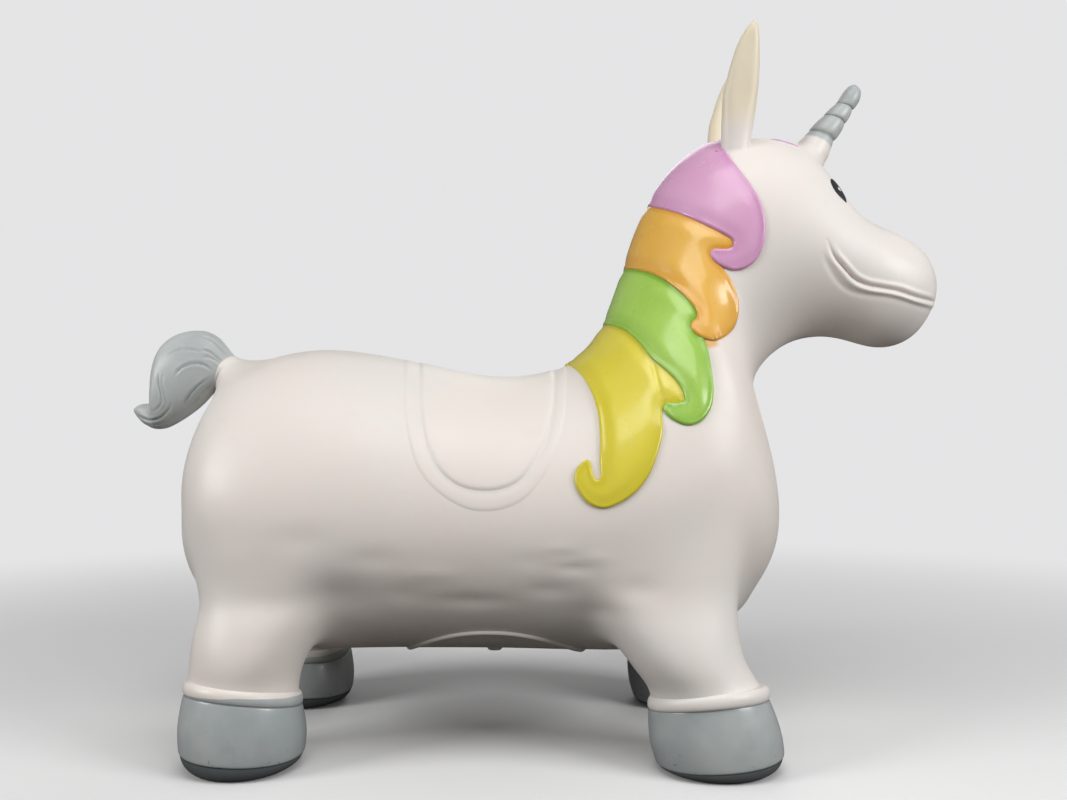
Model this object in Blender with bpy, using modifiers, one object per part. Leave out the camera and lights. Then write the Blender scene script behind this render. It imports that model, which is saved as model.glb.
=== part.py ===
"""Inflatable bouncy ride-on unicorn: a hollow soft skin on four cuffed hooves.

Metres, +Z up, +X to the head, +Y to the animal's left. The origin is on the floor, under the
middle of the box round the whole toy.
"""
import math

import bmesh
import bpy
from mathutils import Matrix, Vector
from mathutils.bvhtree import BVHTree

# Overall sizes
LENGTH = 0.600
RISE = 0.379
BARREL_WIDTH = 0.228
HEAD_WIDTH = 0.124
WALL = 0.0018
GAP = 0.0003
OVERRUN = 0.020

# Feet, from the floor up: hoof, cuff and the leg that shows under the belly
HOOF_HEIGHT = 0.0415
HOOF_PROUD = 0.0041
HOOF_WALL = 0.0022
SOLE_WALL = 0.0030
CUFF_HEIGHT = 0.0100
CUFF_PROUD = 0.0026
CUFF_WALL = 0.0030
LEG_DROP = 0.0100
LEG_LENGTH = 0.0745
HOOF_TILT = math.radians(5.5)
REAR_HOOF_RAKE = -0.0020
FRONT_HOOF_RAKE = 0.0070
HIP_SLOPE = math.radians(20.0)

# Widths across the feet as shares of the barrel's width, and the block over a hip as shares of
# the leg in it
FOOT_TRACK_SHARE = 0.351
LEG_WIDTH_SHARE = 0.307
HIP_LENGTH_SHARE = 1.66
HIP_WIDTH_SHARE = 1.40

# Ears, horn and tail turn on ball roots that sit in round sockets in the skin
EAR_LENGTH = 0.0860
EAR_WIDTH = 0.0240
EAR_THICKNESS = 0.0150
EAR_ROOT_RADIUS = 0.0105
EAR_TRACK = 0.0300
EAR_LEAN = math.radians(7.0)
EAR_SPLAY = math.radians(9.0)
HORN_LENGTH = 0.0670
HORN_WIDTH = 0.0215
HORN_ROOT_RADIUS = 0.0105
HORN_LEAN = math.radians(31.0)
TAIL_THICKNESS = 0.0320
TAIL_ROOT_RADIUS = 0.0125
TAIL_RISE = math.radians(30.0)
SOCKET_CLEARANCE = 0.0007
ROOT_PROUD = 0.0015
LOBE_WALL = 0.0018

# Raised skins: how far each stands off the body
LOCK_RELIEF = 0.0035
SADDLE_RELIEF = 0.0010
BELLY_RELIEF = 0.0014
EYE_RELIEF = 0.0009
PANEL_GROOVE = 0.0012
EYE_WIDTH = 0.0150
EYE_HEIGHT = 0.0270
EYE_TRACK = 0.0300
EYE_ABOVE_MUZZLE = 0.0680
BELLY_PANEL_LENGTH = 0.1080
BELLY_PANEL_WIDTH = 0.0900

# Air valve in the belly
SLEEVE_RADIUS = 0.0090
SLEEVE_DEPTH = 0.0130
SLEEVE_PROUD = 0.0006
PLUG_RADIUS = 0.0040
PLUG_LENGTH = 0.0160
PLUG_HEAD_RADIUS = 0.0056
PLUG_HEAD_HEIGHT = 0.0034

# Photograph: the column and row of the middle plane's origin, the extents that the driving
# lengths span, and the column and row straight in front of the lens
MIDDLE_COLUMN = 534
BELLY_ROW = 645
LENGTH_COLUMNS = 802
RISE_ROWS = 507
VIEW_COLUMN = 544.7
VIEW_ROW = 433

BELLY_HEIGHT = HOOF_HEIGHT + CUFF_HEIGHT + LEG_DROP
CUFF_TOP = HOOF_HEIGHT + CUFF_HEIGHT
FOOT_TRACK = BARREL_WIDTH * FOOT_TRACK_SHARE
LEG_WIDTH = BARREL_WIDTH * LEG_WIDTH_SHARE
CUFF_LENGTH = LEG_LENGTH + 2 * CUFF_PROUD
CUFF_WIDTH = LEG_WIDTH + 2 * CUFF_PROUD
HOOF_LENGTH = LEG_LENGTH + 2 * HOOF_PROUD
HOOF_WIDTH = LEG_WIDTH + 2 * HOOF_PROUD
HIP_LENGTH = LEG_LENGTH * HIP_LENGTH_SHARE
HIP_WIDTH = LEG_WIDTH * HIP_WIDTH_SHARE
LEG_RISE = HIP_WIDTH / 2 * math.sin(HIP_SLOPE) - GAP

# Rings of the body from rump to belly front: the top, side and bottom point of each as columns
# and rows on the middle plane, and the half width as a share of the barrel's width
REAR_POLE = (182, 510)
BARREL_RINGS = [
    (196, 450, 206, 508, 198, 562, 0.245),
    (210, 417, 221, 508, 216, 595, 0.372),
    (226, 382, 237, 508, 236, 622, 0.445),
    (254, 361, 262, 509, 262, 640, 0.485),
    (290, 350, 291, 509, 290, 646, 0.502),
    (322, 346, 321, 509, 320, 647, 0.508),
    (354, 348, 352, 508, 350, 647, 0.508),
    (404, 357, 404, 507, 404, 646, 0.502),
    (454, 371, 455, 508, 456, 646, 0.496),
    (500, 378, 502, 510, 505, 646, 0.494),
    (538, 373, 545, 512, 548, 647, 0.500),
    (562, 365, 580, 508, 586, 648, 0.504),
    (578, 355, 614, 502, 617, 648, 0.506),
    (592, 340, 647, 491, 649, 646, 0.500),
    (604, 316, 677, 474, 681, 639, 0.480),
    (612, 293, 702, 448, 712, 623, 0.450),
    (620, 270, 716, 414, 757, 588, 0.400),
]
# Rings of the neck and head, with the half width as a share of the head's width
NECK_RINGS = [
    (627, 248, 712, 374, 772, 536, 0.665),
    (635, 227, 702, 330, 768, 474, 0.565),
    (648, 199, 704, 296, 744, 412, 0.505),
    (667, 170, 720, 264, 747, 377, 0.490),
    (703, 140, 752, 240, 780, 345, 0.500),
    (756, 134, 790, 238, 817, 338, 0.480),
    (802, 147, 824, 250, 843, 342, 0.430),
    (834, 198, 852, 268, 868, 351, 0.375),
    (876, 229, 886, 285, 890, 350, 0.335),
    (915, 244, 915, 291, 913, 337, 0.255),
]
FRONT_POLE = (937, 289)

# Where the legs leave the body: first and last ring of the barrel, rows down the side, and the
# place on the window's rim, counted from its rear outer corner, that faces the head
REAR_WINDOW = (2, 6)
FRONT_WINDOW = (11, 15)
WINDOW_ROWS = (5, 7)
WINDOW_FRONT_STEP = 5
ROWS = 8

# Mane, saddle, tail and valve as columns and rows of the photograph, and the columns of the
# feet, ears and horn on the middle plane
REAR_FOOT_COLUMN = 276.7
FRONT_FOOT_COLUMN = 685.0
PINK_LOCK = [
    (690, 118), (722, 150), (739, 168), (752, 186), (761, 203), (765, 224), (762, 245),
    (752, 262), (736, 270), (720, 264), (710, 248), (703, 228), (670, 211), (645, 206), (610, 196),
]
ORANGE_LOCK = [
    (612, 192), (670, 200), (704, 236), (722, 268), (733, 284), (738, 303), (736, 321), (727, 337),
    (712, 346), (698, 337), (696, 318), (678, 292), (655, 277), (625, 268), (586, 258),
]
GREEN_LOCK = [
    (590, 254), (640, 262), (682, 300), (707, 345), (712, 370), (713, 394), (704, 419),
    (688, 426), (668, 415), (670, 392), (655, 362), (634, 339), (605, 325), (564, 312),
]
YELLOW_LOCK = [
    (566, 308), (620, 318), (660, 360), (665, 405), (663, 434), (650, 480), (630, 502),
    (604, 509), (580, 496), (576, 474), (594, 461), (599, 430), (594, 400), (572, 366), (548, 336),
]
LOCK_OUTLINES = {
    "mane_lock_pink": PINK_LOCK,
    "mane_lock_orange": ORANGE_LOCK,
    "mane_lock_green": GREEN_LOCK,
    "mane_lock_yellow": YELLOW_LOCK,
}
LOCK_NEAR_SHARE = 0.915
FORELOCK = [(768, 118), (806, 128), (809, 146), (796, 158), (776, 152), (764, 138)]
FORELOCK_WIDTH = 0.034
SADDLE_SEAT = [
    (421, 340), (421, 405), (430, 452), (450, 482), (484, 493), (519, 482), (545, 446),
    (556, 400), (556, 340),
]
SADDLE_SKIRT = [
    (404, 340), (403, 420), (414, 466), (440, 499), (484, 515), (530, 500), (556, 462),
    (571, 410), (571, 340),
]
SADDLE_NEAR_SHARE = 0.87
EAR_COLUMN = 725
HORN_COLUMN = 807
VALVE_COLUMN = 492
TAIL_ROOT = (229, 374)
TAIL_RINGS = [
    (224, 345, 215, 388), (209, 333, 207, 399), (191, 331, 199, 407), (174, 336, 190, 415),
    (161, 349, 181, 422), (155, 366, 172, 427), (153, 383, 163, 429), (153, 397, 155, 428),
    (147, 404, 148, 425), (139, 405, 140, 419),
]
TAIL_TIP = (133, 408, 133, 411)

# How the hoof, cuff and lobes swell along their height: shares of height and of half width
HOOF_OUTER_SHARES = [
    (0.0, 0.82), (0.05, 0.94), (0.15, 0.99), (0.40, 1.0), (0.75, 0.965), (1.0, 0.91),
]
HOOF_INNER_SHARES = [(1.0, 0.91), (0.40, 1.0), (0.14, 0.97)]
CUFF_OUTER_SHARES = [(0.0, 0.93), (0.4, 1.0), (0.75, 0.985), (1.0, 0.92)]
EAR_SHARES = [
    (0.14, 0.82, 0.94), (0.25, 0.95, 1.0), (0.42, 1.0, 0.92), (0.60, 0.93, 0.80),
    (0.78, 0.76, 0.66), (0.92, 0.48, 0.44), (0.985, 0.20, 0.20),
]
HORN_SHARES = [
    (0.20, 0.96, 0.96), (0.36, 0.98, 0.98), (0.58, 0.84, 0.84), (0.80, 0.68, 0.68),
    (0.94, 0.52, 0.52), (0.99, 0.28, 0.28),
]
LEG_SWELL_SHARES = (1.12, 1.04, 1.04, 1.04)
REAR_LEG_LEAN_SHARES = (0.05, 0.02, 0.0, 0.0)
FRONT_LEG_LEAN_SHARES = (-0.24, -0.13, 0.0, 0.0)
ROOT_DEPTH_SHARES = (-0.9, -0.45, 0.0, 0.5)
HOLLOW_ROOT_DEPTH_SHARES = (-1.2, 0.5)
PLUG_SHARES = {"tip": 0.7, "head_wall": 0.7, "head_face": 0.85}
AROUND = 20
LEG_AROUND = 12
LOBE_AROUND = 12
OUTLINE_STEPS = 2
CAVITY_KEEP = 0.28
MERGE = GAP / 10

CREAM = (0.86, 0.81, 0.76)
EAR_CREAM = (0.80, 0.74, 0.58)
GREY = (0.40, 0.43, 0.44)
PINK = (0.76, 0.38, 0.68)
ORANGE = (0.82, 0.45, 0.08)
GREEN = (0.31, 0.62, 0.10)
YELLOW = (0.75, 0.63, 0.07)
CHARCOAL = (0.05, 0.05, 0.055)
LOCK_COLOURS = {
    "mane_lock_pink": PINK,
    "mane_lock_orange": ORANGE,
    "mane_lock_green": GREEN,
    "mane_lock_yellow": YELLOW,
}


def clear_scene():
    for obj in list(bpy.data.objects):
        bpy.data.objects.remove(obj, do_unlink=True)


def new_collection(name):
    collection = bpy.data.collections.new(name)
    bpy.context.scene.collection.children.link(collection)
    return collection


clear_scene()
PARTS = new_collection("bouncy_unicorn")
CUTTERS = new_collection("cutters")
ORIGIN = bpy.data.objects.new("origin", None)
PARTS.objects.link(ORIGIN)


def make_material(name, colour, roughness):
    material = bpy.data.materials.new(name)
    material.use_nodes = True
    shader = material.node_tree.nodes["Principled BSDF"]
    shader.inputs["Base Color"].default_value = (*colour, 1.0)
    shader.inputs["Roughness"].default_value = roughness
    shader.inputs["Metallic"].default_value = 0.0
    return material


def add_object(name, mesh, collection, material=None):
    obj = bpy.data.objects.new(name, mesh)
    collection.objects.link(obj)
    if collection is PARTS:
        obj.parent = ORIGIN
        mesh.materials.clear()
        mesh.materials.append(material)
        mesh.shade_smooth()
        mesh.set_sharp_from_angle(angle=math.radians(35.0))
    else:
        obj.hide_render = True
        obj.display_type = "WIRE"
    return obj


def add_boolean(obj, cutter, operation):
    modifier = obj.modifiers.new(cutter.name, "BOOLEAN")
    modifier.operation = operation
    modifier.solver = "EXACT"
    modifier.object = cutter


def evaluated_mesh(obj):
    bpy.context.view_layer.update()
    depsgraph = bpy.context.evaluated_depsgraph_get()
    return bpy.data.meshes.new_from_object(obj.evaluated_get(depsgraph))


def mesh_from_bmesh(name, shape):
    bmesh.ops.recalc_face_normals(shape, faces=shape.faces)
    mesh = bpy.data.meshes.new(name)
    shape.to_mesh(mesh)
    shape.free()
    return mesh


def middle_point(column, row):
    """A point of the middle plane from where the photograph shows it."""
    x = (column - MIDDLE_COLUMN) / LENGTH_COLUMNS * LENGTH
    z = BELLY_HEIGHT + (BELLY_ROW - row) / RISE_ROWS * RISE
    return Vector((x, 0.0, z))


def near_point(column, row, near_share):
    """A point of a nearer plane, which the photograph shows larger than the middle plane."""
    return middle_point(
        VIEW_COLUMN + (column - VIEW_COLUMN) * near_share,
        VIEW_ROW + (row - VIEW_ROW) * near_share,
    )


def ring_points(ring, width):
    """Half a ring: two quarter ellipses, from the top over the right side to the bottom."""
    top = middle_point(ring[0], ring[1])
    side = middle_point(ring[2], ring[3])
    bottom = middle_point(ring[4], ring[5])
    points = []
    for step in range(ROWS + 1):
        angle = math.pi * step / ROWS
        end = top if step < ROWS / 2 else bottom
        point = side.lerp(end, abs(math.cos(angle)))
        point.y = -width * ring[6] * math.sin(angle) if 0 < step < ROWS else 0.0
        points.append(point)
    return points


def body_rings():
    rings = [ring_points(ring, BARREL_WIDTH) for ring in BARREL_RINGS]
    return rings + [ring_points(ring, HEAD_WIDTH) for ring in NECK_RINGS]


def leg_rings(foot_x, lean_shares):
    """Ellipses down one leg, each point under its place on the rim of the leg's window."""
    heights = [BELLY_HEIGHT + LEG_RISE, BELLY_HEIGHT, CUFF_TOP, CUFF_TOP - OVERRUN]
    rings = []
    for height, swell, lean_share in zip(heights, LEG_SWELL_SHARES, lean_shares):
        lean = lean_share * LEG_LENGTH
        ring = []
        for step in range(LEG_AROUND):
            angle = 2 * math.pi * (step - WINDOW_FRONT_STEP) / LEG_AROUND
            ring.append(Vector((
                foot_x + lean + LEG_LENGTH / 2 * swell * math.cos(angle),
                -FOOT_TRACK + LEG_WIDTH / 2 * swell * math.sin(angle),
                height,
            )))
        rings.append(ring)
    return rings


def window_rim(grid, window):
    """The vertices round a leg's window, from its rear outer corner, outer side first."""
    first, last = window
    outer, inner = WINDOW_ROWS
    rim = [grid[ring][outer] for ring in range(first, last)]
    rim += [grid[last][row] for row in range(outer, inner)]
    rim += [grid[ring][inner] for ring in range(last, first, -1)]
    rim += [grid[first][row] for row in range(inner, outer, -1)]
    return rim


def in_window(ring, row):
    for first, last in (REAR_WINDOW, FRONT_WINDOW):
        if first <= ring < last and WINDOW_ROWS[0] <= row < WINDOW_ROWS[1]:
            return True
    return False


def bridge(shape, lower, upper):
    count = len(lower)
    for step in range(count):
        following = (step + 1) % count
        shape.faces.new((lower[step], lower[following], upper[following], upper[step]))


def half_cage():
    """The right half of the body and its two legs, open along the middle plane."""
    shape = bmesh.new()
    grid = [[shape.verts.new(point) for point in ring] for ring in body_rings()]
    for ring in range(len(grid) - 1):
        for row in range(ROWS):
            if not in_window(ring, row):
                shape.faces.new((
                    grid[ring][row], grid[ring + 1][row],
                    grid[ring + 1][row + 1], grid[ring][row + 1],
                ))
    for pole, ring in ((REAR_POLE, grid[0]), (FRONT_POLE, grid[-1])):
        end = shape.verts.new(middle_point(*pole))
        for row in range(ROWS):
            shape.faces.new((end, ring[row], ring[row + 1]))
    for window, column, lean_shares in (
        (REAR_WINDOW, REAR_FOOT_COLUMN, REAR_LEG_LEAN_SHARES),
        (FRONT_WINDOW, FRONT_FOOT_COLUMN, FRONT_LEG_LEAN_SHARES),
    ):
        foot_x = middle_point(column, BELLY_ROW).x
        lower = window_rim(grid, window)
        for points in leg_rings(foot_x, lean_shares):
            upper = [shape.verts.new(point) for point in points]
            bridge(shape, lower, upper)
            lower = upper
        shape.faces.new(lower)
    return mesh_from_bmesh("half_cage", shape)


def smooth_skin():
    """The closed outer surface of body and legs."""
    obj = add_object("skin_form", half_cage(), CUTTERS)
    mirror = obj.modifiers.new("both_sides", "MIRROR")
    mirror.use_axis = (False, True, False)
    mirror.use_clip = True
    mirror.merge_threshold = MERGE
    rounding = obj.modifiers.new("rounding", "SUBSURF")
    rounding.levels = 1
    rounding.render_levels = 1
    shape = bmesh.new()
    shape.from_mesh(evaluated_mesh(obj))
    return mesh_from_bmesh("smooth_skin", shape)


def offset_mesh(mesh, distance, name):
    """The same surface pushed out along its normals, or in where the distance is negative."""
    shape = bmesh.new()
    shape.from_mesh(mesh)
    shape.normal_update()
    moves = [vertex.normal * distance for vertex in shape.verts]
    for vertex, move in zip(shape.verts, moves):
        vertex.co += move
    return mesh_from_bmesh(name, shape)


SKIN = smooth_skin()
SKIN_TREE = BVHTree.FromPolygons(
    [vertex.co for vertex in SKIN.vertices], [face.vertices for face in SKIN.polygons])


def skin_below(x, y):
    """The skin's point and normal straight below a place above the animal."""
    start = Vector((x, y, BELLY_HEIGHT + RISE + LENGTH))
    point, normal, _, _ = SKIN_TREE.ray_cast(start, Vector((0.0, 0.0, -1.0)))
    return point, normal


def skin_above(x, y):
    """The skin's lowest point straight above a place on the floor."""
    point, normal, _, _ = SKIN_TREE.ray_cast(Vector((x, y, 0.0)), Vector((0.0, 0.0, 1.0)))
    return point, normal


def skin_behind(y, z):
    """The face's point and normal seen straight from the front."""
    point, normal, _, _ = SKIN_TREE.ray_cast(Vector((LENGTH, y, z)), Vector((-1.0, 0.0, 0.0)))
    return point, normal


def loft_mesh(name, sections, ring_shaped=False):
    """A skin over like-numbered sections, capped at both ends or joined end to start."""
    shape = bmesh.new()
    rings = [[shape.verts.new(point) for point in section] for section in sections]
    for lower, upper in zip(rings, rings[1:]):
        bridge(shape, lower, upper)
    if ring_shaped:
        bridge(shape, rings[-1], rings[0])
    else:
        shape.faces.new(rings[0])
        shape.faces.new(rings[-1])
    return mesh_from_bmesh(name, shape)


def box_mesh(name, low, high):
    shape = bmesh.new()
    bmesh.ops.create_cube(shape, size=1.0)
    middle = (Vector(low) + Vector(high)) / 2
    size = Vector(high) - Vector(low)
    for vertex in shape.verts:
        vertex.co = Vector(a * b for a, b in zip(vertex.co, size)) + middle
    return mesh_from_bmesh(name, shape)


def ball_cutter(name, centre, radius):
    shape = bmesh.new()
    bmesh.ops.create_uvsphere(shape, u_segments=AROUND, v_segments=AROUND // 2, radius=radius)
    bmesh.ops.translate(shape, verts=shape.verts, vec=centre)
    return add_object(name, mesh_from_bmesh(name, shape), CUTTERS)


def cylinder_mesh(name, radius, low, high, x, y):
    shape = bmesh.new()
    bmesh.ops.create_cone(
        shape, cap_ends=True, segments=AROUND, radius1=radius, radius2=radius, depth=high - low)
    bmesh.ops.translate(shape, verts=shape.verts, vec=(x, y, (low + high) / 2))
    return mesh_from_bmesh(name, shape)


def outline_cutter(name, points, half_width, margin=0.0):
    """A prism across the animal over a smooth closed outline in the side view."""
    curve = bpy.data.curves.new(name, "CURVE")
    curve.dimensions = "2D"
    curve.fill_mode = "BOTH"
    curve.extrude = half_width
    curve.offset = margin
    curve.resolution_u = OUTLINE_STEPS
    spline = curve.splines.new("BEZIER")
    spline.bezier_points.add(len(points) - 1)
    for knot, point in zip(spline.bezier_points, points):
        knot.co = (point.x, point.z, 0.0)
        knot.handle_left_type = "AUTO"
        knot.handle_right_type = "AUTO"
    spline.use_cyclic_u = True
    guide = bpy.data.objects.new(name + "_curve", curve)
    CUTTERS.objects.link(guide)
    shape = bmesh.new()
    shape.from_mesh(evaluated_mesh(guide))
    bmesh.ops.remove_doubles(shape, verts=shape.verts, dist=MERGE)
    bmesh.ops.rotate(shape, verts=shape.verts, matrix=Matrix.Rotation(math.pi / 2, 3, "X"))
    bpy.data.objects.remove(guide, do_unlink=True)
    return add_object(name, mesh_from_bmesh(name, shape), CUTTERS)


def outline_points(pixels, near_share):
    return [near_point(column, row, near_share) for column, row in pixels]


def hoof_section(foot, height, tilt, half_length, half_width):
    """A level oval under the ankle, tilted about the Y axis through the foot's middle."""
    points = []
    for step in range(AROUND):
        angle = 2 * math.pi * step / AROUND
        x = half_length * math.cos(angle)
        points.append(Vector((
            foot.x + x,
            foot.y + half_width * math.sin(angle),
            height + x * math.tan(tilt),
        )))
    return points


def make_hoof(name, foot, tilt, rake, material):
    """A cup, open on top into the leg, with a flat sole that the rake sets forward."""
    sections = []
    for height_share, width_share in HOOF_OUTER_SHARES:
        middle = foot + Vector((rake * (1.0 - height_share), 0.0, 0.0))
        sections.append(hoof_section(
            middle, HOOF_HEIGHT * height_share, tilt * height_share,
            HOOF_LENGTH / 2 * width_share, HOOF_WIDTH / 2 * width_share))
    depth = HOOF_HEIGHT - SOLE_WALL
    for height_share, width_share in HOOF_INNER_SHARES + [(0.0, HOOF_OUTER_SHARES[0][1])]:
        middle = foot + Vector((rake * (1.0 - height_share), 0.0, 0.0))
        sections.append(hoof_section(
            middle, SOLE_WALL + depth * height_share, tilt * height_share,
            HOOF_LENGTH / 2 * width_share - HOOF_WALL,
            HOOF_WIDTH / 2 * width_share - HOOF_WALL))
    return add_object(name, loft_mesh(name, sections), PARTS, material)


def make_cuff(name, foot, tilt, material):
    """The rounded bead round the ankle, a ring between leg and hoof."""
    sections = []
    low = HOOF_HEIGHT + GAP
    height = CUFF_HEIGHT - 2 * GAP
    for height_share, width_share in CUFF_OUTER_SHARES:
        sections.append(hoof_section(
            foot, low + height * height_share, tilt,
            CUFF_LENGTH / 2 * width_share, CUFF_WIDTH / 2 * width_share))
    bore_share = min(share for _, share in CUFF_OUTER_SHARES)
    for rise in (low + height, low):
        sections.append(hoof_section(
            foot, rise, tilt,
            CUFF_LENGTH / 2 * bore_share - CUFF_WALL, CUFF_WIDTH / 2 * bore_share - CUFF_WALL))
    return add_object(name, loft_mesh(name, sections, ring_shaped=True), PARTS, material)


def hip_cutter(name, feet, drop):
    """A block under the sloping hip line of each foot, lowered by a drop."""
    shape = bmesh.new()
    for foot in feet:
        side = math.copysign(1.0, foot.y)
        block = box_mesh(
            name,
            (-HIP_LENGTH / 2, -HIP_WIDTH / 2, -LENGTH),
            (HIP_LENGTH / 2, HIP_WIDTH / 2, 0.0))
        place = Matrix.Translation((foot.x, foot.y, BELLY_HEIGHT + LEG_RISE - drop))
        block.transform(place @ Matrix.Rotation(side * HIP_SLOPE, 4, "X"))
        shape.from_mesh(block)
    return add_object(name, mesh_from_bmesh(name, shape), CUTTERS)


def ankle_cutter(name, foot, tilt):
    """A block over the tilted top of one cuff."""
    mesh = box_mesh(
        name,
        (-HIP_LENGTH / 2, -HIP_WIDTH / 2, 0.0),
        (HIP_LENGTH / 2, HIP_WIDTH / 2, LEG_DROP + LEG_RISE + HIP_WIDTH))
    obj = add_object(name, mesh, CUTTERS)
    obj.location = (foot.x, foot.y, CUFF_TOP)
    obj.rotation_euler = (0.0, -tilt, 0.0)
    return obj


def lobe_section(matrix, height, half_width, half_thickness):
    points = []
    for step in range(LOBE_AROUND):
        angle = 2 * math.pi * step / LOBE_AROUND
        points.append(matrix @ Vector((
            half_width * math.cos(angle), half_thickness * math.sin(angle), height)))
    return points


def root_sections(matrix, root_radius, shrink):
    """Round levels of a ball root, up its axis, or of the wider way into a hollow one."""
    depth_shares = ROOT_DEPTH_SHARES if shrink == 0.0 else HOLLOW_ROOT_DEPTH_SHARES
    least = math.sqrt(1.0 - ROOT_DEPTH_SHARES[0] ** 2)
    sections = []
    for depth in depth_shares:
        radius = root_radius * max(math.sqrt(max(1.0 - depth * depth, 0.0)), least) - shrink
        sections.append(lobe_section(matrix, root_radius * depth, radius, radius))
    return sections


def lobe_mesh(name, matrix, length, width, thickness, root_radius, shares, shrink):
    """An ear or horn on a ball root, or its smaller inside, along the matrix's Z axis."""
    sections = root_sections(matrix, root_radius, shrink)
    for height_share, width_share, thickness_share in shares:
        half_width = width / 2 * width_share - shrink
        half_thickness = thickness / 2 * thickness_share - shrink
        if half_thickness > shrink:
            sections.append(lobe_section(
                matrix, (length - shrink) * height_share, half_width, half_thickness))
    return loft_mesh(name, sections)


def make_lobe(name, matrix, length, width, thickness, root_radius, shares, material):
    mesh = lobe_mesh(name, matrix, length, width, thickness, root_radius, shares, 0.0)
    inside = lobe_mesh(
        name + "_inside", matrix, length, width, thickness, root_radius, shares, LOBE_WALL)
    obj = add_object(name, mesh, PARTS, material)
    add_boolean(obj, add_object(name + "_inside", inside, CUTTERS), "DIFFERENCE")
    return obj


def frame_matrix(place, x_axis, z_axis):
    """A frame at a place with its Z along one direction and its X as near another as it can."""
    z_axis = z_axis.normalized()
    y_axis = z_axis.cross(x_axis).normalized()
    x_axis = y_axis.cross(z_axis)
    matrix = Matrix((x_axis, y_axis, z_axis)).transposed().to_4x4()
    matrix.translation = place
    return matrix


def ear_frame(side):
    x = middle_point(EAR_COLUMN, BELLY_ROW).x
    point, normal = skin_below(x, side * EAR_TRACK)
    direction = Vector((math.tan(EAR_LEAN), side * math.tan(EAR_SPLAY), 1.0))
    return frame_matrix(point + normal * ROOT_PROUD, Vector((1.0, 0.0, 0.0)), direction)


def horn_frame():
    x = middle_point(HORN_COLUMN, BELLY_ROW).x
    point, normal = skin_below(x, 0.0)
    direction = Vector((math.sin(HORN_LEAN), 0.0, math.cos(HORN_LEAN)))
    return frame_matrix(point - normal * WALL / 2, Vector((1.0, 0.0, 0.0)), direction)


def tail_frame():
    direction = Vector((-math.cos(TAIL_RISE), 0.0, math.sin(TAIL_RISE)))
    return frame_matrix(middle_point(*TAIL_ROOT), Vector((0.0, 0.0, 1.0)), direction)


def tail_sections(shrink):
    """A ball root, then ovals that each span the tail from its back to its underside."""
    sections = root_sections(tail_frame(), TAIL_ROOT_RADIUS, shrink)
    rings = TAIL_RINGS + [TAIL_TIP] if shrink == 0.0 else TAIL_RINGS[:-2:2]
    for ring in rings:
        back = middle_point(ring[0], ring[1])
        under = middle_point(ring[2], ring[3])
        reach = (back - under).length / 2 - shrink
        upward = (back - under).normalized()
        half_thickness = min(TAIL_THICKNESS / 2 - shrink, reach)
        section = []
        for step in range(LOBE_AROUND):
            angle = 2 * math.pi * step / LOBE_AROUND
            section.append(
                (back + under) / 2 + upward * reach * math.cos(angle)
                + Vector((0.0, half_thickness * math.sin(angle), 0.0)))
        sections.append(section)
    return sections


def relief_object(name, outline_cutters, relief, material, cleared=()):
    """A raised skin over one outline, lying a gap above the body."""
    obj = add_object(name, offset_mesh(SKIN, GAP + relief, name), PARTS, material)
    for cutter in outline_cutters:
        add_boolean(obj, cutter, "INTERSECT")
    add_boolean(obj, LIFTED, "DIFFERENCE")
    for cutter in cleared:
        add_boolean(obj, cutter, "DIFFERENCE")
    return obj


cream = make_material("cream_skin", CREAM, 0.42)
cream_ear = make_material("cream_ear", EAR_CREAM, 0.45)
grey = make_material("grey_paint", GREY, 0.40)
charcoal = make_material("charcoal_paint", CHARCOAL, 0.30)

LIFTED = add_object("lifted_skin", offset_mesh(SKIN, GAP, "lifted_skin"), CUTTERS)
CAVITY = add_object("cavity", offset_mesh(SKIN, -WALL, "cavity"), CUTTERS)
thinning = CAVITY.modifiers.new("fewer_faces", "DECIMATE")
thinning.ratio = CAVITY_KEEP

REAR_FOOT_X = middle_point(REAR_FOOT_COLUMN, BELLY_ROW).x
FRONT_FOOT_X = middle_point(FRONT_FOOT_COLUMN, BELLY_ROW).x
FEET = {
    "rear_left": (Vector((REAR_FOOT_X, FOOT_TRACK, 0.0)), -HOOF_TILT, REAR_HOOF_RAKE),
    "rear_right": (Vector((REAR_FOOT_X, -FOOT_TRACK, 0.0)), -HOOF_TILT, REAR_HOOF_RAKE),
    "front_left": (Vector((FRONT_FOOT_X, FOOT_TRACK, 0.0)), HOOF_TILT, FRONT_HOOF_RAKE),
    "front_right": (Vector((FRONT_FOOT_X, -FOOT_TRACK, 0.0)), HOOF_TILT, FRONT_HOOF_RAKE),
}


def make_body():
    obj = add_object("body_skin", SKIN.copy(), PARTS, cream)
    add_boolean(obj, CAVITY, "DIFFERENCE")
    feet = [foot for foot, _, _ in FEET.values()]
    add_boolean(obj, hip_cutter("hip_cuts", feet, 0.0), "DIFFERENCE")
    return obj


def make_legs():
    for place, (foot, tilt, rake) in FEET.items():
        leg = add_object("leg_" + place, SKIN.copy(), PARTS, cream)
        add_boolean(leg, hip_cutter("leg_top_" + place, [foot], GAP), "INTERSECT")
        add_boolean(leg, ankle_cutter("leg_end_" + place, foot, tilt), "INTERSECT")
        add_boolean(leg, CAVITY, "DIFFERENCE")
        make_cuff("cuff_" + place, foot, tilt, cream)
        make_hoof("hoof_" + place, foot, tilt, rake, grey)


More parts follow.
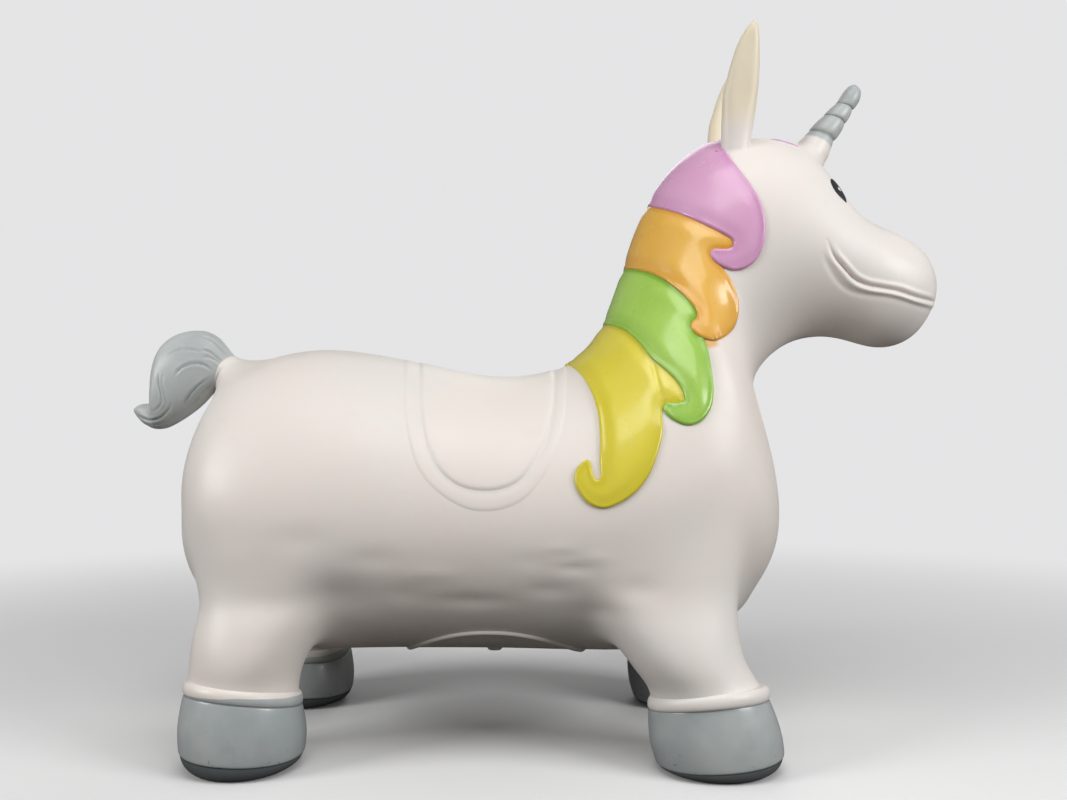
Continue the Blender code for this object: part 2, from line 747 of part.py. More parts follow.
def make_ears_and_horn(body):
    sockets = {}
    for name, side in (("ear_left", 1.0), ("ear_right", -1.0)):
        matrix = ear_frame(side)
        make_lobe(
            name, matrix, EAR_LENGTH, EAR_WIDTH, EAR_THICKNESS, EAR_ROOT_RADIUS, EAR_SHARES,
            cream_ear)
        sockets[name] = (matrix.translation, EAR_ROOT_RADIUS)
    matrix = horn_frame()
    make_lobe(
        "horn", matrix, HORN_LENGTH, HORN_WIDTH, HORN_WIDTH, HORN_ROOT_RADIUS, HORN_SHARES, grey)
    sockets["horn"] = (matrix.translation, HORN_ROOT_RADIUS)
    for name, (centre, radius) in sockets.items():
        socket = ball_cutter(name + "_socket", centre, radius + SOCKET_CLEARANCE)
        add_boolean(body, socket, "DIFFERENCE")
    return sockets


def make_tail(body):
    tail = add_object("tail", loft_mesh("tail", tail_sections(0.0)), PARTS, grey)
    inside = loft_mesh("tail_inside", tail_sections(LOBE_WALL))
    add_boolean(tail, add_object("tail_inside", inside, CUTTERS), "DIFFERENCE")
    socket = ball_cutter(
        "tail_socket", middle_point(*TAIL_ROOT), TAIL_ROOT_RADIUS + SOCKET_CLEARANCE)
    add_boolean(body, socket, "DIFFERENCE")


def make_mane(sockets):
    reach = BARREL_WIDTH
    cleared = []
    for name in ("ear_left", "ear_right"):
        centre, radius = sockets[name]
        cleared.append(ball_cutter(name + "_room", centre, radius + LOCK_RELIEF))
    for name, pixels in LOCK_OUTLINES.items():
        points = outline_points(pixels, LOCK_NEAR_SHARE)
        material = make_material(name, LOCK_COLOURS[name], 0.35)
        outline = outline_cutter(name + "_outline", points, reach)
        relief_object(name, [outline], LOCK_RELIEF, material, cleared)
        room = outline_cutter(name + "_room", points, reach, GAP)
        cleared.append(room)
    centre, radius = sockets["horn"]
    horn_room = ball_cutter("horn_room", centre, radius + LOCK_RELIEF)
    crown = [middle_point(column, row) for column, row in FORELOCK]
    outline = outline_cutter("forelock_outline", crown, FORELOCK_WIDTH / 2)
    material = make_material("forelock", PINK, 0.35)
    relief_object("forelock", [outline], LOCK_RELIEF, material, [horn_room])
    return cleared


def make_saddle(mane_rooms):
    seat_points = outline_points(SADDLE_SEAT, SADDLE_NEAR_SHARE)
    skirt_points = outline_points(SADDLE_SKIRT, SADDLE_NEAR_SHARE)
    seat = outline_cutter("saddle_seat_outline", seat_points, BARREL_WIDTH)
    relief_object("saddle_seat", [seat], SADDLE_RELIEF, cream)
    skirt = outline_cutter("saddle_skirt_outline", skirt_points, BARREL_WIDTH)
    room = outline_cutter("saddle_seat_room", seat_points, BARREL_WIDTH, PANEL_GROOVE)
    relief_object("saddle_skirt", [skirt], SADDLE_RELIEF, cream, [room] + mane_rooms)


def make_eyes():
    height = middle_point(*FRONT_POLE).z + EYE_ABOVE_MUZZLE
    for name, side in (("eye_left", 1.0), ("eye_right", -1.0)):
        point, normal = skin_behind(side * EYE_TRACK, height)
        matrix = frame_matrix(point, Vector((0.0, 0.0, 1.0)), normal)
        cutter_mesh = cylinder_mesh(name + "_outline", 1.0, -1.0, 1.0, 0.0, 0.0)
        scale = Matrix.Diagonal((EYE_HEIGHT / 2, EYE_WIDTH / 2, EYE_WIDTH / 2, 1.0))
        cutter_mesh.transform(matrix @ scale)
        outline = add_object(name + "_outline", cutter_mesh, CUTTERS)
        relief_object(name, [outline], EYE_RELIEF, charcoal)


def make_belly_and_valve(body):
    x = middle_point(VALVE_COLUMN, BELLY_ROW).x
    low = skin_above(x, 0.0)[0].z - SLEEVE_PROUD
    high = low + SLEEVE_DEPTH
    hole = add_object(
        "valve_hole",
        cylinder_mesh("valve_hole", SLEEVE_RADIUS + GAP, low - OVERRUN, high, x, 0.0), CUTTERS)
    add_boolean(body, hole, "DIFFERENCE")
    panel_mesh = cylinder_mesh("belly_outline", 1.0, low - OVERRUN, high, 0.0, 0.0)
    panel_mesh.transform(
        Matrix.Translation((x, 0.0, 0.0))
        @ Matrix.Diagonal((BELLY_PANEL_LENGTH / 2, BELLY_PANEL_WIDTH / 2, 1.0, 1.0)))
    outline = add_object("belly_outline", panel_mesh, CUTTERS)
    relief_object("belly_panel", [outline], BELLY_RELIEF, cream, [hole])
    sleeve = add_object(
        "valve_sleeve", cylinder_mesh("valve_sleeve", SLEEVE_RADIUS, low, high, x, 0.0),
        PARTS, cream)
    bore = cylinder_mesh(
        "valve_bore", PLUG_RADIUS + GAP, low - OVERRUN, high + OVERRUN, x, 0.0)
    add_boolean(sleeve, add_object("valve_bore", bore, CUTTERS), "DIFFERENCE")
    make_plug(x, low)


def make_plug(x, sleeve_low):
    """A push-in plug: a stem that fills the sleeve's bore and a flat round head below it."""
    head_top = sleeve_low - GAP
    profile = [
        (0.0, PLUG_LENGTH),
        (PLUG_RADIUS * PLUG_SHARES["tip"], PLUG_LENGTH),
        (PLUG_RADIUS, PLUG_LENGTH - PLUG_RADIUS),
        (PLUG_RADIUS, 0.0),
        (PLUG_HEAD_RADIUS, 0.0),
        (PLUG_HEAD_RADIUS, -PLUG_HEAD_HEIGHT * PLUG_SHARES["head_wall"]),
        (PLUG_HEAD_RADIUS * PLUG_SHARES["head_face"], -PLUG_HEAD_HEIGHT),
        (0.0, -PLUG_HEAD_HEIGHT),
    ]
    shape = bmesh.new()
    verts = [shape.verts.new((radius, 0.0, height)) for radius, height in profile]
    for start, end in zip(verts, verts[1:]):
        shape.edges.new((start, end))
    mesh = bpy.data.meshes.new("air_plug")
    shape.to_mesh(mesh)
    shape.free()
    plug = add_object("air_plug", mesh, PARTS, cream)
    plug.location = (x, 0.0, head_top)
    turning = plug.modifiers.new("turning", "SCREW")
    turning.steps = AROUND
    turning.render_steps = AROUND
    turning.use_merge_vertices = True
    turning.merge_threshold = MERGE


def floor_middle():
    """The bottom middle of the box round all the parts."""
    low = [math.inf] * 3
    high = [-math.inf] * 3
    bpy.context.view_layer.update()
    depsgraph = bpy.context.evaluated_depsgraph_get()
    for obj in PARTS.objects:
        if obj.type == "MESH":
            evaluated = obj.evaluated_get(depsgraph)
            for vertex in evaluated.data.vertices:
                place = evaluated.matrix_world @ vertex.co
                low = [min(a, b) for a, b in zip(low, place)]
                high = [max(a, b) for a, b in zip(high, place)]
    return Vector(((low[0] + high[0]) / 2, (low[1] + high[1]) / 2, low[2]))


def make_unicorn():
    body = make_body()
    make_legs()
    sockets = make_ears_and_horn(body)
    make_tail(body)
    mane_rooms = make_mane(sockets)
    make_saddle(mane_rooms[-1:])
    make_eyes()
    make_belly_and_valve(body)
    shift = floor_middle()
    for obj in list(PARTS.objects) + list(CUTTERS.objects):
        if obj.parent is None:
            obj.location = obj.location - shift
    print("moved by", [round(value, 5) for value in -shift])
    for name, (centre, _) in sockets.items():
        print(name, "pivot", [round(value, 5) for value in centre - shift])
    print("tail pivot", [round(value, 5) for value in middle_point(*TAIL_ROOT) - shift])


make_unicorn()
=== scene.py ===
"""Looks of the bouncy ride-on unicorn: soft painted skin, mane locks, horn, tail and hooves."""
import math

import bmesh
import bpy
import numpy as np
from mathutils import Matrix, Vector
from mathutils.bvhtree import BVHTree
from mathutils.geometry import delaunay_2d_cdt
from mathutils.kdtree import KDTree


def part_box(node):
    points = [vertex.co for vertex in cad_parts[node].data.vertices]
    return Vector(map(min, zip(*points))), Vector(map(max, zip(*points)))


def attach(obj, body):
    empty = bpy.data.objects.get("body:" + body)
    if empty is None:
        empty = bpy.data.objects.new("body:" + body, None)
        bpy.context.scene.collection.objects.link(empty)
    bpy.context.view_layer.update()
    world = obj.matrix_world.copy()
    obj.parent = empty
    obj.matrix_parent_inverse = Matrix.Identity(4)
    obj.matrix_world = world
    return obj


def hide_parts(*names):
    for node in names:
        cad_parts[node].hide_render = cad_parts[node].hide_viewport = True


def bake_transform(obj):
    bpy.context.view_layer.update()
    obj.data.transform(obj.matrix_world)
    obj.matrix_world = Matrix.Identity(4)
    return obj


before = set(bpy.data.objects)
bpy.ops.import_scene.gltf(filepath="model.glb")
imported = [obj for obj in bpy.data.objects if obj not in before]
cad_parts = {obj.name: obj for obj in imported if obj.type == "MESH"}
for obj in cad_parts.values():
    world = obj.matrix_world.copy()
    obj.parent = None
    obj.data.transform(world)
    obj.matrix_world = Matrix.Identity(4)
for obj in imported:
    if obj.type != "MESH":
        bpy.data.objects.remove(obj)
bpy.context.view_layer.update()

# Photograph: the camera that took it, in the frame's metres, and its picture size
PICTURE = (1067, 800)
FOCAL = 962.0
CAMERA = np.array((0.0068, -0.72, 0.2194))
PITCH = math.radians(1.96)
YAW = math.radians(0.67)

# Driving sizes of the source, repeated
LENGTH = 0.600
RISE = 0.379
BARREL_WIDTH = 0.228
HEAD_WIDTH = 0.124
BELLY_HEIGHT = 0.0615
CUFF_TOP = 0.0515
FRAME_SHIFT = 0.00113
FOOT_TRACK = 0.0800
LEG_LENGTH = 0.0745
LEG_WIDTH = 0.0700
LEG_RISE = 0.01646
HIP_SLOPE = math.radians(20.0)
ANKLE_TILT = math.radians(5.5)
REAR_FOOT_X = -0.19249
FRONT_FOOT_X = 0.11297
LEG_SWELLS = (1.12, 1.04, 1.04, 1.04)
REAR_LEANS = ((0.03, 0.07), (-0.015, 0.02), (-0.035, 0.0), (-0.035, 0.0))
FRONT_LEANS = ((-0.28, -0.24), (-0.11, -0.13), (-0.02, 0.0), (0.0, 0.0))
ROWS = 8
LEG_AROUND = 12
LEG_TUCK = 0.020

# Where the source sets its middle column and belly row, and how many pixels its sizes span
MIDDLE_COLUMN, LENGTH_PIXELS = 534, 802
BELLY_ROW, RISE_PIXELS = 645, 507

REAR_POLE = (182, 510)
BARREL_RINGS = [
    (196, 450, 206, 508, 198, 562, 0.245),
    (210, 417, 221, 508, 216, 595, 0.372),
    (226, 382, 237, 508, 236, 622, 0.445),
    (254, 361, 262, 509, 262, 640, 0.485),
    (290, 350, 291, 509, 290, 646, 0.502),
    (322, 346, 321, 509, 320, 647, 0.508),
    (354, 348, 352, 508, 350, 647, 0.508),
    (404, 357, 404, 507, 404, 646, 0.502),
    (454, 371, 455, 508, 456, 646, 0.496),
    (500, 378, 502, 510, 505, 646, 0.494),
    (538, 373, 545, 512, 548, 647, 0.500),
    (562, 365, 580, 508, 586, 648, 0.504),
    (578, 355, 614, 502, 617, 648, 0.506),
    (592, 340, 647, 491, 649, 646, 0.500),
    (604, 316, 677, 474, 681, 639, 0.480),
    (612, 293, 702, 448, 712, 623, 0.450),
    (620, 270, 716, 414, 757, 588, 0.400),
]
NECK_RINGS = [
    (627, 248, 712, 374, 772, 536, 0.665),
    (635, 227, 702, 330, 768, 474, 0.565),
    (648, 199, 704, 296, 744, 412, 0.505),
    (667, 170, 720, 264, 747, 377, 0.490),
    (703, 140, 752, 240, 780, 345, 0.500),
    (756, 134, 790, 238, 817, 338, 0.480),
    (802, 147, 824, 250, 843, 342, 0.430),
    (834, 198, 852, 268, 868, 351, 0.375),
    (876, 229, 886, 285, 890, 350, 0.335),
    (915, 244, 915, 291, 913, 337, 0.255),
]
FRONT_POLE = (937, 289)
REAR_WINDOW = (2, 6)
FRONT_WINDOW = (11, 15)
WINDOW_ROWS = (5, 7)
WINDOW_FRONT_STEP = 5

# Mouth: the deep line between the lips and the softer one under the lower lip
MOUTH_LINE = [
    (827.6, 240), (834, 255), (843.6, 267), (855, 279), (867.7, 285), (880, 287.5),
    (898.7, 291), (915, 296.5), (929.7, 300.6), (937, 303),
]
LIP_LINE = [
    (821.5, 248), (828, 265), (838, 281), (850.5, 291), (869, 295.5), (885, 297),
    (900, 300.5), (915, 305.5), (928.6, 309.7), (936, 313),
]

# Mane locks, each from its top on the crest round its curl and back to the crest
PINK = [
    (722, 138), (725, 147), (730, 157), (737, 167), (750, 184), (760, 201), (765.5, 221),
    (764.5, 240), (758, 257.5), (746.5, 268), (734, 271), (722, 267.5), (713.5, 261.5),
    (709.8, 255), (711.5, 249.5), (718, 248.8), (726, 248.8), (732.5, 246), (732, 240.5),
    (724, 235), (708, 227), (688, 218), (669, 211.5), (644, 206),
]
ORANGE = [
    (650, 192), (672, 200), (706, 213), (730, 230), (739, 246), (729, 257), (718, 259),
    (723, 268), (731.5, 281), (738, 300), (737.5, 316), (731.5, 331), (718, 340.5), (706, 340),
    (695, 334.5), (689.8, 327), (691.5, 321.5), (696, 317), (695.5, 310.5), (689, 302),
    (678, 291), (660, 278), (640, 271), (620, 269),
]
GREEN = [
    (622, 254), (645, 262), (672, 276), (698, 298), (706, 318), (702, 330), (706, 343),
    (709, 354), (712, 372), (713.5, 392), (711, 408), (702, 421), (688, 426), (674, 421),
    (665.5, 414), (662.5, 407.5), (667, 402.5), (677, 402.5), (683.5, 400), (682, 391),
    (673, 378), (652, 359), (640, 344), (628, 333), (615, 327), (600, 325),
]
YELLOW = [
    (602, 310), (625, 318), (650, 340), (668, 362), (685, 385), (686, 402), (672, 404),
    (663, 410), (663, 433), (658.5, 452), (651.5, 471), (642, 486), (630, 497.5),
    (617, 505), (603, 509), (588.5, 504), (578, 491.5), (574, 478), (578.5, 466),
    (588, 459.5), (592, 467), (593.5, 475), (597.5, 480.5), (600.2, 474.5), (599.6, 462),
    (599.8, 445), (599, 424), (596, 406), (589, 388), (578, 372), (562, 361),
]
YELLOW_FOLD = [(650, 356), (655, 372), (659, 388), (662.5, 404)]
SADDLE_SEAT = [
    (419, 352), (419, 378), (419.5, 400), (421.5, 425), (426, 447), (435, 466), (449, 481),
    (464, 489), (483, 492), (502, 490), (520, 481.5), (533, 465), (545, 443), (552, 416),
    (554.5, 395), (555, 372), (555, 355),
]
SADDLE_SKIRT = [
    (404, 350), (402.5, 378), (403, 405), (406, 433), (412, 459), (420, 475), (434, 491),
    (452, 504), (468, 511), (483, 513), (502, 511), (523, 502), (539, 486), (552, 464),
    (561, 440), (566.5, 415), (568, 392), (568, 372), (566, 350),
]

# Guards and sampling
TINY = 1e-30
CURVE_STEPS = 24
LINE_STEP = 0.5
NEAR_DEPTHS = np.linspace(-0.12, 0.0, 25)


# Photograph's rays
def forward():
    return np.array((
        -math.sin(YAW) * math.cos(PITCH), math.cos(YAW) * math.cos(PITCH), math.sin(PITCH)))


def ray_of(column, row):
    """The direction in which the camera sees a pixel."""
    ahead = forward()
    right = np.array((math.cos(YAW), math.sin(YAW), 0.0))
    up = np.cross(right, ahead)
    direction = (
        ahead * FOCAL + right * (column - PICTURE[0] / 2) - up * (row - PICTURE[1] / 2))
    return direction / np.linalg.norm(direction)


def on_plane(column, row, y=0.0):
    """Where the camera's ray through a pixel meets an upright plane along the animal."""
    direction = ray_of(column, row)
    return CAMERA + direction * ((y - CAMERA[1]) / direction[1])


def middle_point(column, row):
    """The source's point in the middle plane for a pixel."""
    x = (column - MIDDLE_COLUMN) / LENGTH_PIXELS * LENGTH + FRAME_SHIFT
    z = BELLY_HEIGHT + (BELLY_ROW - row) / RISE_PIXELS * RISE
    return Vector((x, 0.0, z))


def travelled(points):
    """How far along a line each of its points lies."""
    return np.concatenate([[0.0], np.cumsum(np.linalg.norm(np.diff(points, axis=0), axis=1))])


def resampled(points, along, stops):
    """The points of a line at other stops along it."""
    return np.stack([np.interp(stops, along, column) for column in points.T], axis=1)


def smooth_line(points, step, closed=False):
    """A Catmull-Rom curve through points of any dimension, sampled about evenly."""
    points = np.array(points, float)
    if closed:
        padded = np.vstack([points[-1:], points, points[:2]])
    else:
        padded = np.vstack([2 * points[0] - points[1], points, 2 * points[-1] - points[-2]])
    share = np.linspace(0.0, 1.0, CURVE_STEPS + 1)[:-1, None]
    dense = []
    for index in range(len(padded) - 3):
        a, b, c, d = padded[index:index + 4]
        dense.append(0.5 * (
            2 * b + (c - a) * share + (2 * a - 5 * b + 4 * c - d) * share ** 2
            + (3 * b - a - 3 * c + d) * share ** 3))
    dense = np.vstack(dense + [padded[-2][None]])
    along = travelled(dense)
    pieces = max(int(round(along[-1] / step)), 2)
    result = resampled(dense, along, np.linspace(0.0, along[-1], pieces + 1))
    return result[:-1] if closed else result


def smoothstep(low, high, value):
    share = np.clip((value - low) / (high - low), 0.0, 1.0)
    return share * share * (3 - 2 * share)


def hump(away, reach):
    """A bell of height one, over distances."""
    return np.exp(-(away / reach) ** 2)


def dome(depth, run):
    """A quarter round from nothing at the edge to one at the end of its run."""
    edge = np.clip(depth / run, 0.0, 1.0)
    return np.sqrt(np.clip(1 - (1 - edge) ** 2, 0.0, 1.0))


def turns(count):
    return np.linspace(0, 2 * math.pi, count, endpoint=False)


def squared(value, power):
    """A sine or cosine bent towards a squarer ring."""
    return math.copysign(abs(value) ** power, value)


def near_side(points):
    """Points, with those of the far side mirrored onto the near one."""
    return points * (1, 0, 1) - np.abs(points) * (0, 1, 0)


def unit(vector):
    return vector / np.linalg.norm(vector)


# The skin's cage, as the source makes it
def ring_points(ring, width):
    top, side, bottom = (middle_point(*ring[index:index + 2]) for index in (0, 2, 4))
    points = []
    for step in range(ROWS + 1):
        angle = math.pi * step / ROWS
        end = top if step < ROWS / 2 else bottom
        point = side.lerp(end, abs(math.cos(angle)))
        point.y = -width * ring[6] * math.sin(angle) if 0 < step < ROWS else 0.0
        points.append(point)
    return points


def leg_rings(foot_x, leans):
    heights = (BELLY_HEIGHT + LEG_RISE, BELLY_HEIGHT, CUFF_TOP, CUFF_TOP - LEG_TUCK)
    rings = []
    for height, swell, (ahead, behind) in zip(heights, LEG_SWELLS, leans):
        ring = []
        for step in range(LEG_AROUND):
            angle = 2 * math.pi * (step - WINDOW_FRONT_STEP) / LEG_AROUND
            lean = behind + (ahead - behind) * (0.5 + 0.5 * math.cos(angle))
            ring.append(Vector((
                foot_x + FRAME_SHIFT + lean * LEG_LENGTH
                + LEG_LENGTH / 2 * swell * math.cos(angle),
                -FOOT_TRACK + LEG_WIDTH / 2 * swell * math.sin(angle),
                height)))
        rings.append(ring)
    return rings


def window_rim(grid, window):
    first, last = window
    outer, inner = WINDOW_ROWS
    rim = [grid[ring][outer] for ring in range(first, last)]
    rim += [grid[last][row] for row in range(outer, inner)]
    rim += [grid[ring][inner] for ring in range(last, first, -1)]
    rim += [grid[first][row] for row in range(inner, outer, -1)]
    return rim


def in_window(ring, row):
    for first, last in (REAR_WINDOW, FRONT_WINDOW):
        if first <= ring < last and WINDOW_ROWS[0] <= row < WINDOW_ROWS[1]:
            return True
    return False


# Ring and row of the legs' corners, which have no place on the flat map, and a bound above it
NO_PLACE = (-5.0, -5.0)
LEAST_RING = -2
MIRROR_MERGE = 0.00003
SKIN_LEVELS = 4


def cage_mesh():
    """Half the body and two legs, with each corner's ring and row kept as its UV."""
    shape = bmesh.new()
    uv = shape.loops.layers.uv.new("ring_row")
    points = [ring_points(ring, BARREL_WIDTH) for ring in BARREL_RINGS]
    points += [ring_points(ring, HEAD_WIDTH) for ring in NECK_RINGS]
    grid = [[shape.verts.new(point) for point in ring] for ring in points]

    def add_face(corners, places):
        face = shape.faces.new(corners)
        for loop, place in zip(face.loops, places):
            loop[uv].uv = place

    last = len(grid) - 1
    for ring in range(last):
        for row in range(ROWS):
            if not in_window(ring, row):
                places = ((ring, row), (ring + 1, row), (ring + 1, row + 1), (ring, row + 1))
                add_face([grid[a][b] for a, b in places], places)
    for pole, ring, place in ((REAR_POLE, 0, -1), (FRONT_POLE, last, last + 1)):
        end = shape.verts.new(middle_point(*pole))
        for row in range(ROWS):
            add_face(
                (end, grid[ring][row], grid[ring][row + 1]),
                ((place, row + 0.5), (ring, row), (ring, row + 1)))
    for window, foot_x, leans in (
        (REAR_WINDOW, REAR_FOOT_X, REAR_LEANS),
        (FRONT_WINDOW, FRONT_FOOT_X, FRONT_LEANS),
    ):
        lower = window_rim(grid, window)
        for ring in leg_rings(foot_x, leans):
            upper = [shape.verts.new(point) for point in ring]
            for step in range(LEG_AROUND):
                after = (step + 1) % LEG_AROUND
                add_face(
                    (lower[step], lower[after], upper[after], upper[step]), [NO_PLACE] * 4)
            lower = upper
    bmesh.ops.recalc_face_normals(shape, faces=shape.faces)
    mesh = bpy.data.meshes.new("cage")
    shape.to_mesh(mesh)
    shape.free()
    return mesh


def smooth_skin():
    obj = bpy.data.objects.new("skin_form", cage_mesh())
    bpy.context.scene.collection.objects.link(obj)
    mirror = obj.modifiers.new("both_sides", "MIRROR")
    mirror.use_axis = (False, True, False)
    mirror.use_clip = True
    mirror.merge_threshold = MIRROR_MERGE
    rounding = obj.modifiers.new("rounding", "SUBSURF")
    rounding.levels = SKIN_LEVELS
    rounding.uv_smooth = "NONE"
    rounding.boundary_smooth = "PRESERVE_CORNERS"
    bpy.context.view_layer.update()
    mesh = bpy.data.meshes.new_from_object(
        obj.evaluated_get(bpy.context.evaluated_depsgraph_get()))
    bpy.data.objects.remove(obj, do_unlink=True)
    return mesh


def gather(items, attribute, width=3, kind=float):
    """One attribute of many mesh items, as rows of an array."""
    values = np.empty(len(items) * width, kind)
    items.foreach_get(attribute, values)
    return values.reshape(-1, width)


def coordinates(mesh):
    return gather(mesh.vertices, "co")


def vertex_normals(mesh):
    return gather(mesh.vertex_normals, "vector", kind=np.float32).astype(float)


def set_coordinates(mesh, points):
    mesh.vertices.foreach_set("co", points.ravel())
    mesh.update()


class Surface:
    """A smooth surface that points can be set on, with a flat map of rings and rows."""

    def __init__(self, mesh):
        mesh.calc_loop_triangles()
        self.points = coordinates(mesh)
        self.normals = vertex_normals(mesh)
        self.corners = gather(mesh.loop_triangles, "vertices", kind=np.int32)
        loops = gather(mesh.loop_triangles, "loops", kind=np.int32)
        places = gather(mesh.uv_layers["ring_row"].data, "uv", 2, np.float32)
        self.places = places[loops].astype(float)
        self.mapped = self.places[:, :, 0].min(axis=1) > LEAST_RING
        self.tree = BVHTree.FromPolygons(
            [Vector(point) for point in self.points], self.corners.tolist(), all_triangles=True)

    def ray(self, start, direction):
        """Where a ray first meets the surface, or None."""
        point = self.tree.ray_cast(Vector(start), Vector(direction))[0]
        return None if point is None else np.array(point)

    def weights(self, index, point):
        a, b, c = self.points[self.corners[index]]
        ab, ac, ap = b - a, c - a, np.array(point) - a
        d00, d01, d11 = ab @ ab, ab @ ac, ac @ ac
        d20, d21 = ap @ ab, ap @ ac
        scale = max(d00 * d11 - d01 * d01, TINY)
        v = (d11 * d20 - d01 * d21) / scale
        w = (d00 * d21 - d01 * d20) / scale
        return np.array((1 - v - w, v, w))

    def nearest(self, point):
        """The nearest place on the surface, its normal and its triangle."""
        place, _, index, _ = self.tree.find_nearest(Vector(point))
        share = self.weights(index, place)
        normal = share @ self.normals[self.corners[index]]
        return np.array(place), unit(normal), index

    def seen(self, column, row):
        """What the camera sees at a pixel, or the nearest place to a ray that passes by."""
        point = self.ray(CAMERA, ray_of(column, row))
        if point is not None:
            return point
        found = [self.tree.find_nearest(Vector(on_plane(column, row, y))) for y in NEAR_DEPTHS]
        return np.array(min(found, key=lambda item: item[3])[0])

    def signed_places(self, bottom):
        """Flat places of every triangle's corners, with the left side on the other hand."""
        places = self.places.copy()
        left = self.points[self.corners][:, :, 1].mean(axis=1) > 0
        places[left, :, 1] = (2 * ROWS if bottom else 0) - places[left, :, 1]
        return places

    def to_flat(self, point, places):
        """The flat place of the skin nearest to a point, from one of the signed maps."""
        place, _, index = self.nearest(point)
        return self.weights(index, place) @ places[index]


# Hollows and swellings: pixel, depth, how far along and up (mm), and by how much (mm)
FORMS = [
    (862, 209, 0.0, 19.0, 16.0, -4.4),
    (811, 156, 0.0, 14.0, 12.0, 2.0),
    (742, 609, -0.028, 14.0, 10.0, 2.0),
    (775, 576, 0.0, 17.0, 20.0, -6.5),
    (756, 532, -0.074, 22.0, 42.0, 5.5),
    (678, 604, -0.112, 40.0, 19.0, -1.9),
    (246, 606, -0.112, 30.0, 18.0, -1.4),
    (238, 374, 0.0, 17.0, 16.0, 2.4),
    (180, 518, 0.0, 16.0, 34.0, 2.4),
    (193, 606, -0.085, 18.0, 15.0, -2.4),
    (330, 600, -0.108, 26.0, 14.0, -3.0),
    (262, 604, -0.104, 26.0, 9.0, -1.3),
    (232, 560, -0.104, 20.0, 14.0, 0.9),
    (574, 569, -0.108, 11.0, 3.2, -1.0),
    (596, 558, -0.108, 10.0, 3.0, 0.45),
    (558, 548, -0.110, 9.0, 3.0, 0.35),
    (570, 557, -0.110, 9.0, 3.0, -0.35),
    (530, 562, -0.110, 13.0, 5.0, -0.4),
    (548, 592, -0.106, 14.0, 5.0, -0.8),
    (402, 597, -0.106, 13.0, 7.0, -0.8),
    (372, 560, -0.110, 15.0, 6.0, -0.7),
    (470, 604, -0.104, 24.0, 5.0, -1.1),
    (430, 575, -0.108, 16.0, 5.0, 0.6),
    (300, 540, -0.110, 16.0, 8.0, -0.7),
    (640, 588, -0.100, 14.0, 7.0, -1.0),
    (600, 612, -0.095, 16.0, 6.0, -0.8),
]
FORM_SIDE_REACH = 0.045
# Where the legs leave the body, smoothed over: middle and reach
HIP_FOLDS = [
    ((0.1400, -0.072, 0.100), (0.024, 0.040, 0.024)),
    ((-0.2290, -0.072, 0.116), (0.022, 0.040, 0.026)),
]
HIP_ROUNDS, HIP_PULL, LEAST_PULL = 70, 0.5, 0.004


def draw_in(points, ends, others, share):
    """Moves each point a share of the way to the middle of its neighbours, in place."""
    counts = np.maximum(np.bincount(ends, minlength=len(points)), 1)
    for axis in range(3):
        mean = np.bincount(ends, points[others, axis], len(points)) / counts
        points[:, axis] += share * (mean - points[:, axis])


def form_skin(mesh):
    """Smooths the folds above the legs and adds the low unevenness of a blown-up skin."""
    points = coordinates(mesh)
    weights = np.zeros(len(points))
    for middle, reach in HIP_FOLDS:
        away = (((near_side(points) - middle) / reach) ** 2).sum(axis=1)
        weights = np.maximum(weights, np.exp(-away ** 2))
    edges = gather(mesh.edges, "vertices", 2, np.int32)
    edges = edges[(weights[edges] > LEAST_PULL).any(axis=1)]
    ends, others = np.vstack([edges, edges[:, ::-1]]).T
    share = np.where(weights > LEAST_PULL, HIP_PULL * weights, 0.0)
    for _ in range(HIP_ROUNDS):
        draw_in(points, ends, others, share)
    set_coordinates(mesh, points)
    total = np.zeros(len(points))
    for column, row, depth, along, up, amount in FORMS:
        place = on_plane(column, row, depth)
        side = np.exp(-((np.abs(points[:, 1]) - abs(depth)) / FORM_SIDE_REACH) ** 4)
        total += amount / 1000 * side * np.exp(
            -((points[:, 0] - place[0]) / along * 1000) ** 2
            - ((points[:, 2] - place[2]) / up * 1000) ** 2)
    points += vertex_normals(mesh) * total[:, None]
    set_coordinates(mesh, points)


SKIN_MESH = smooth_skin()
form_skin(SKIN_MESH)
SKIN = Surface(SKIN_MESH)


def both_sides(line):
    """A line on the near side followed back along its mirror image on the far side."""
    line = np.array(line)
    line[0, 1] = line[-1, 1] = 0.0
    far = line[1:-1][::-1] * (1, -1, 1)
    return np.vstack([line, far])


def seen_line(pixels, step, closed=False):
    """A smooth line on the skin through pixels of the photograph."""
    return np.array([SKIN.seen(*pixel) for pixel in smooth_line(pixels, step, closed)])


def even_loop(points, step):
    """A closed line of points in space, resampled evenly."""
    closed = np.vstack([points, points[:1]])
    along = travelled(closed)
    count = int(round(along[-1] / step))
    return resampled(closed, along, np.linspace(0.0, along[-1], count + 1)[:-1])


def kd_tree(points):
    tree = KDTree(len(points))
    for index, point in enumerate(points):
        tree.insert(Vector(point), index)
    tree.balance()
    return tree


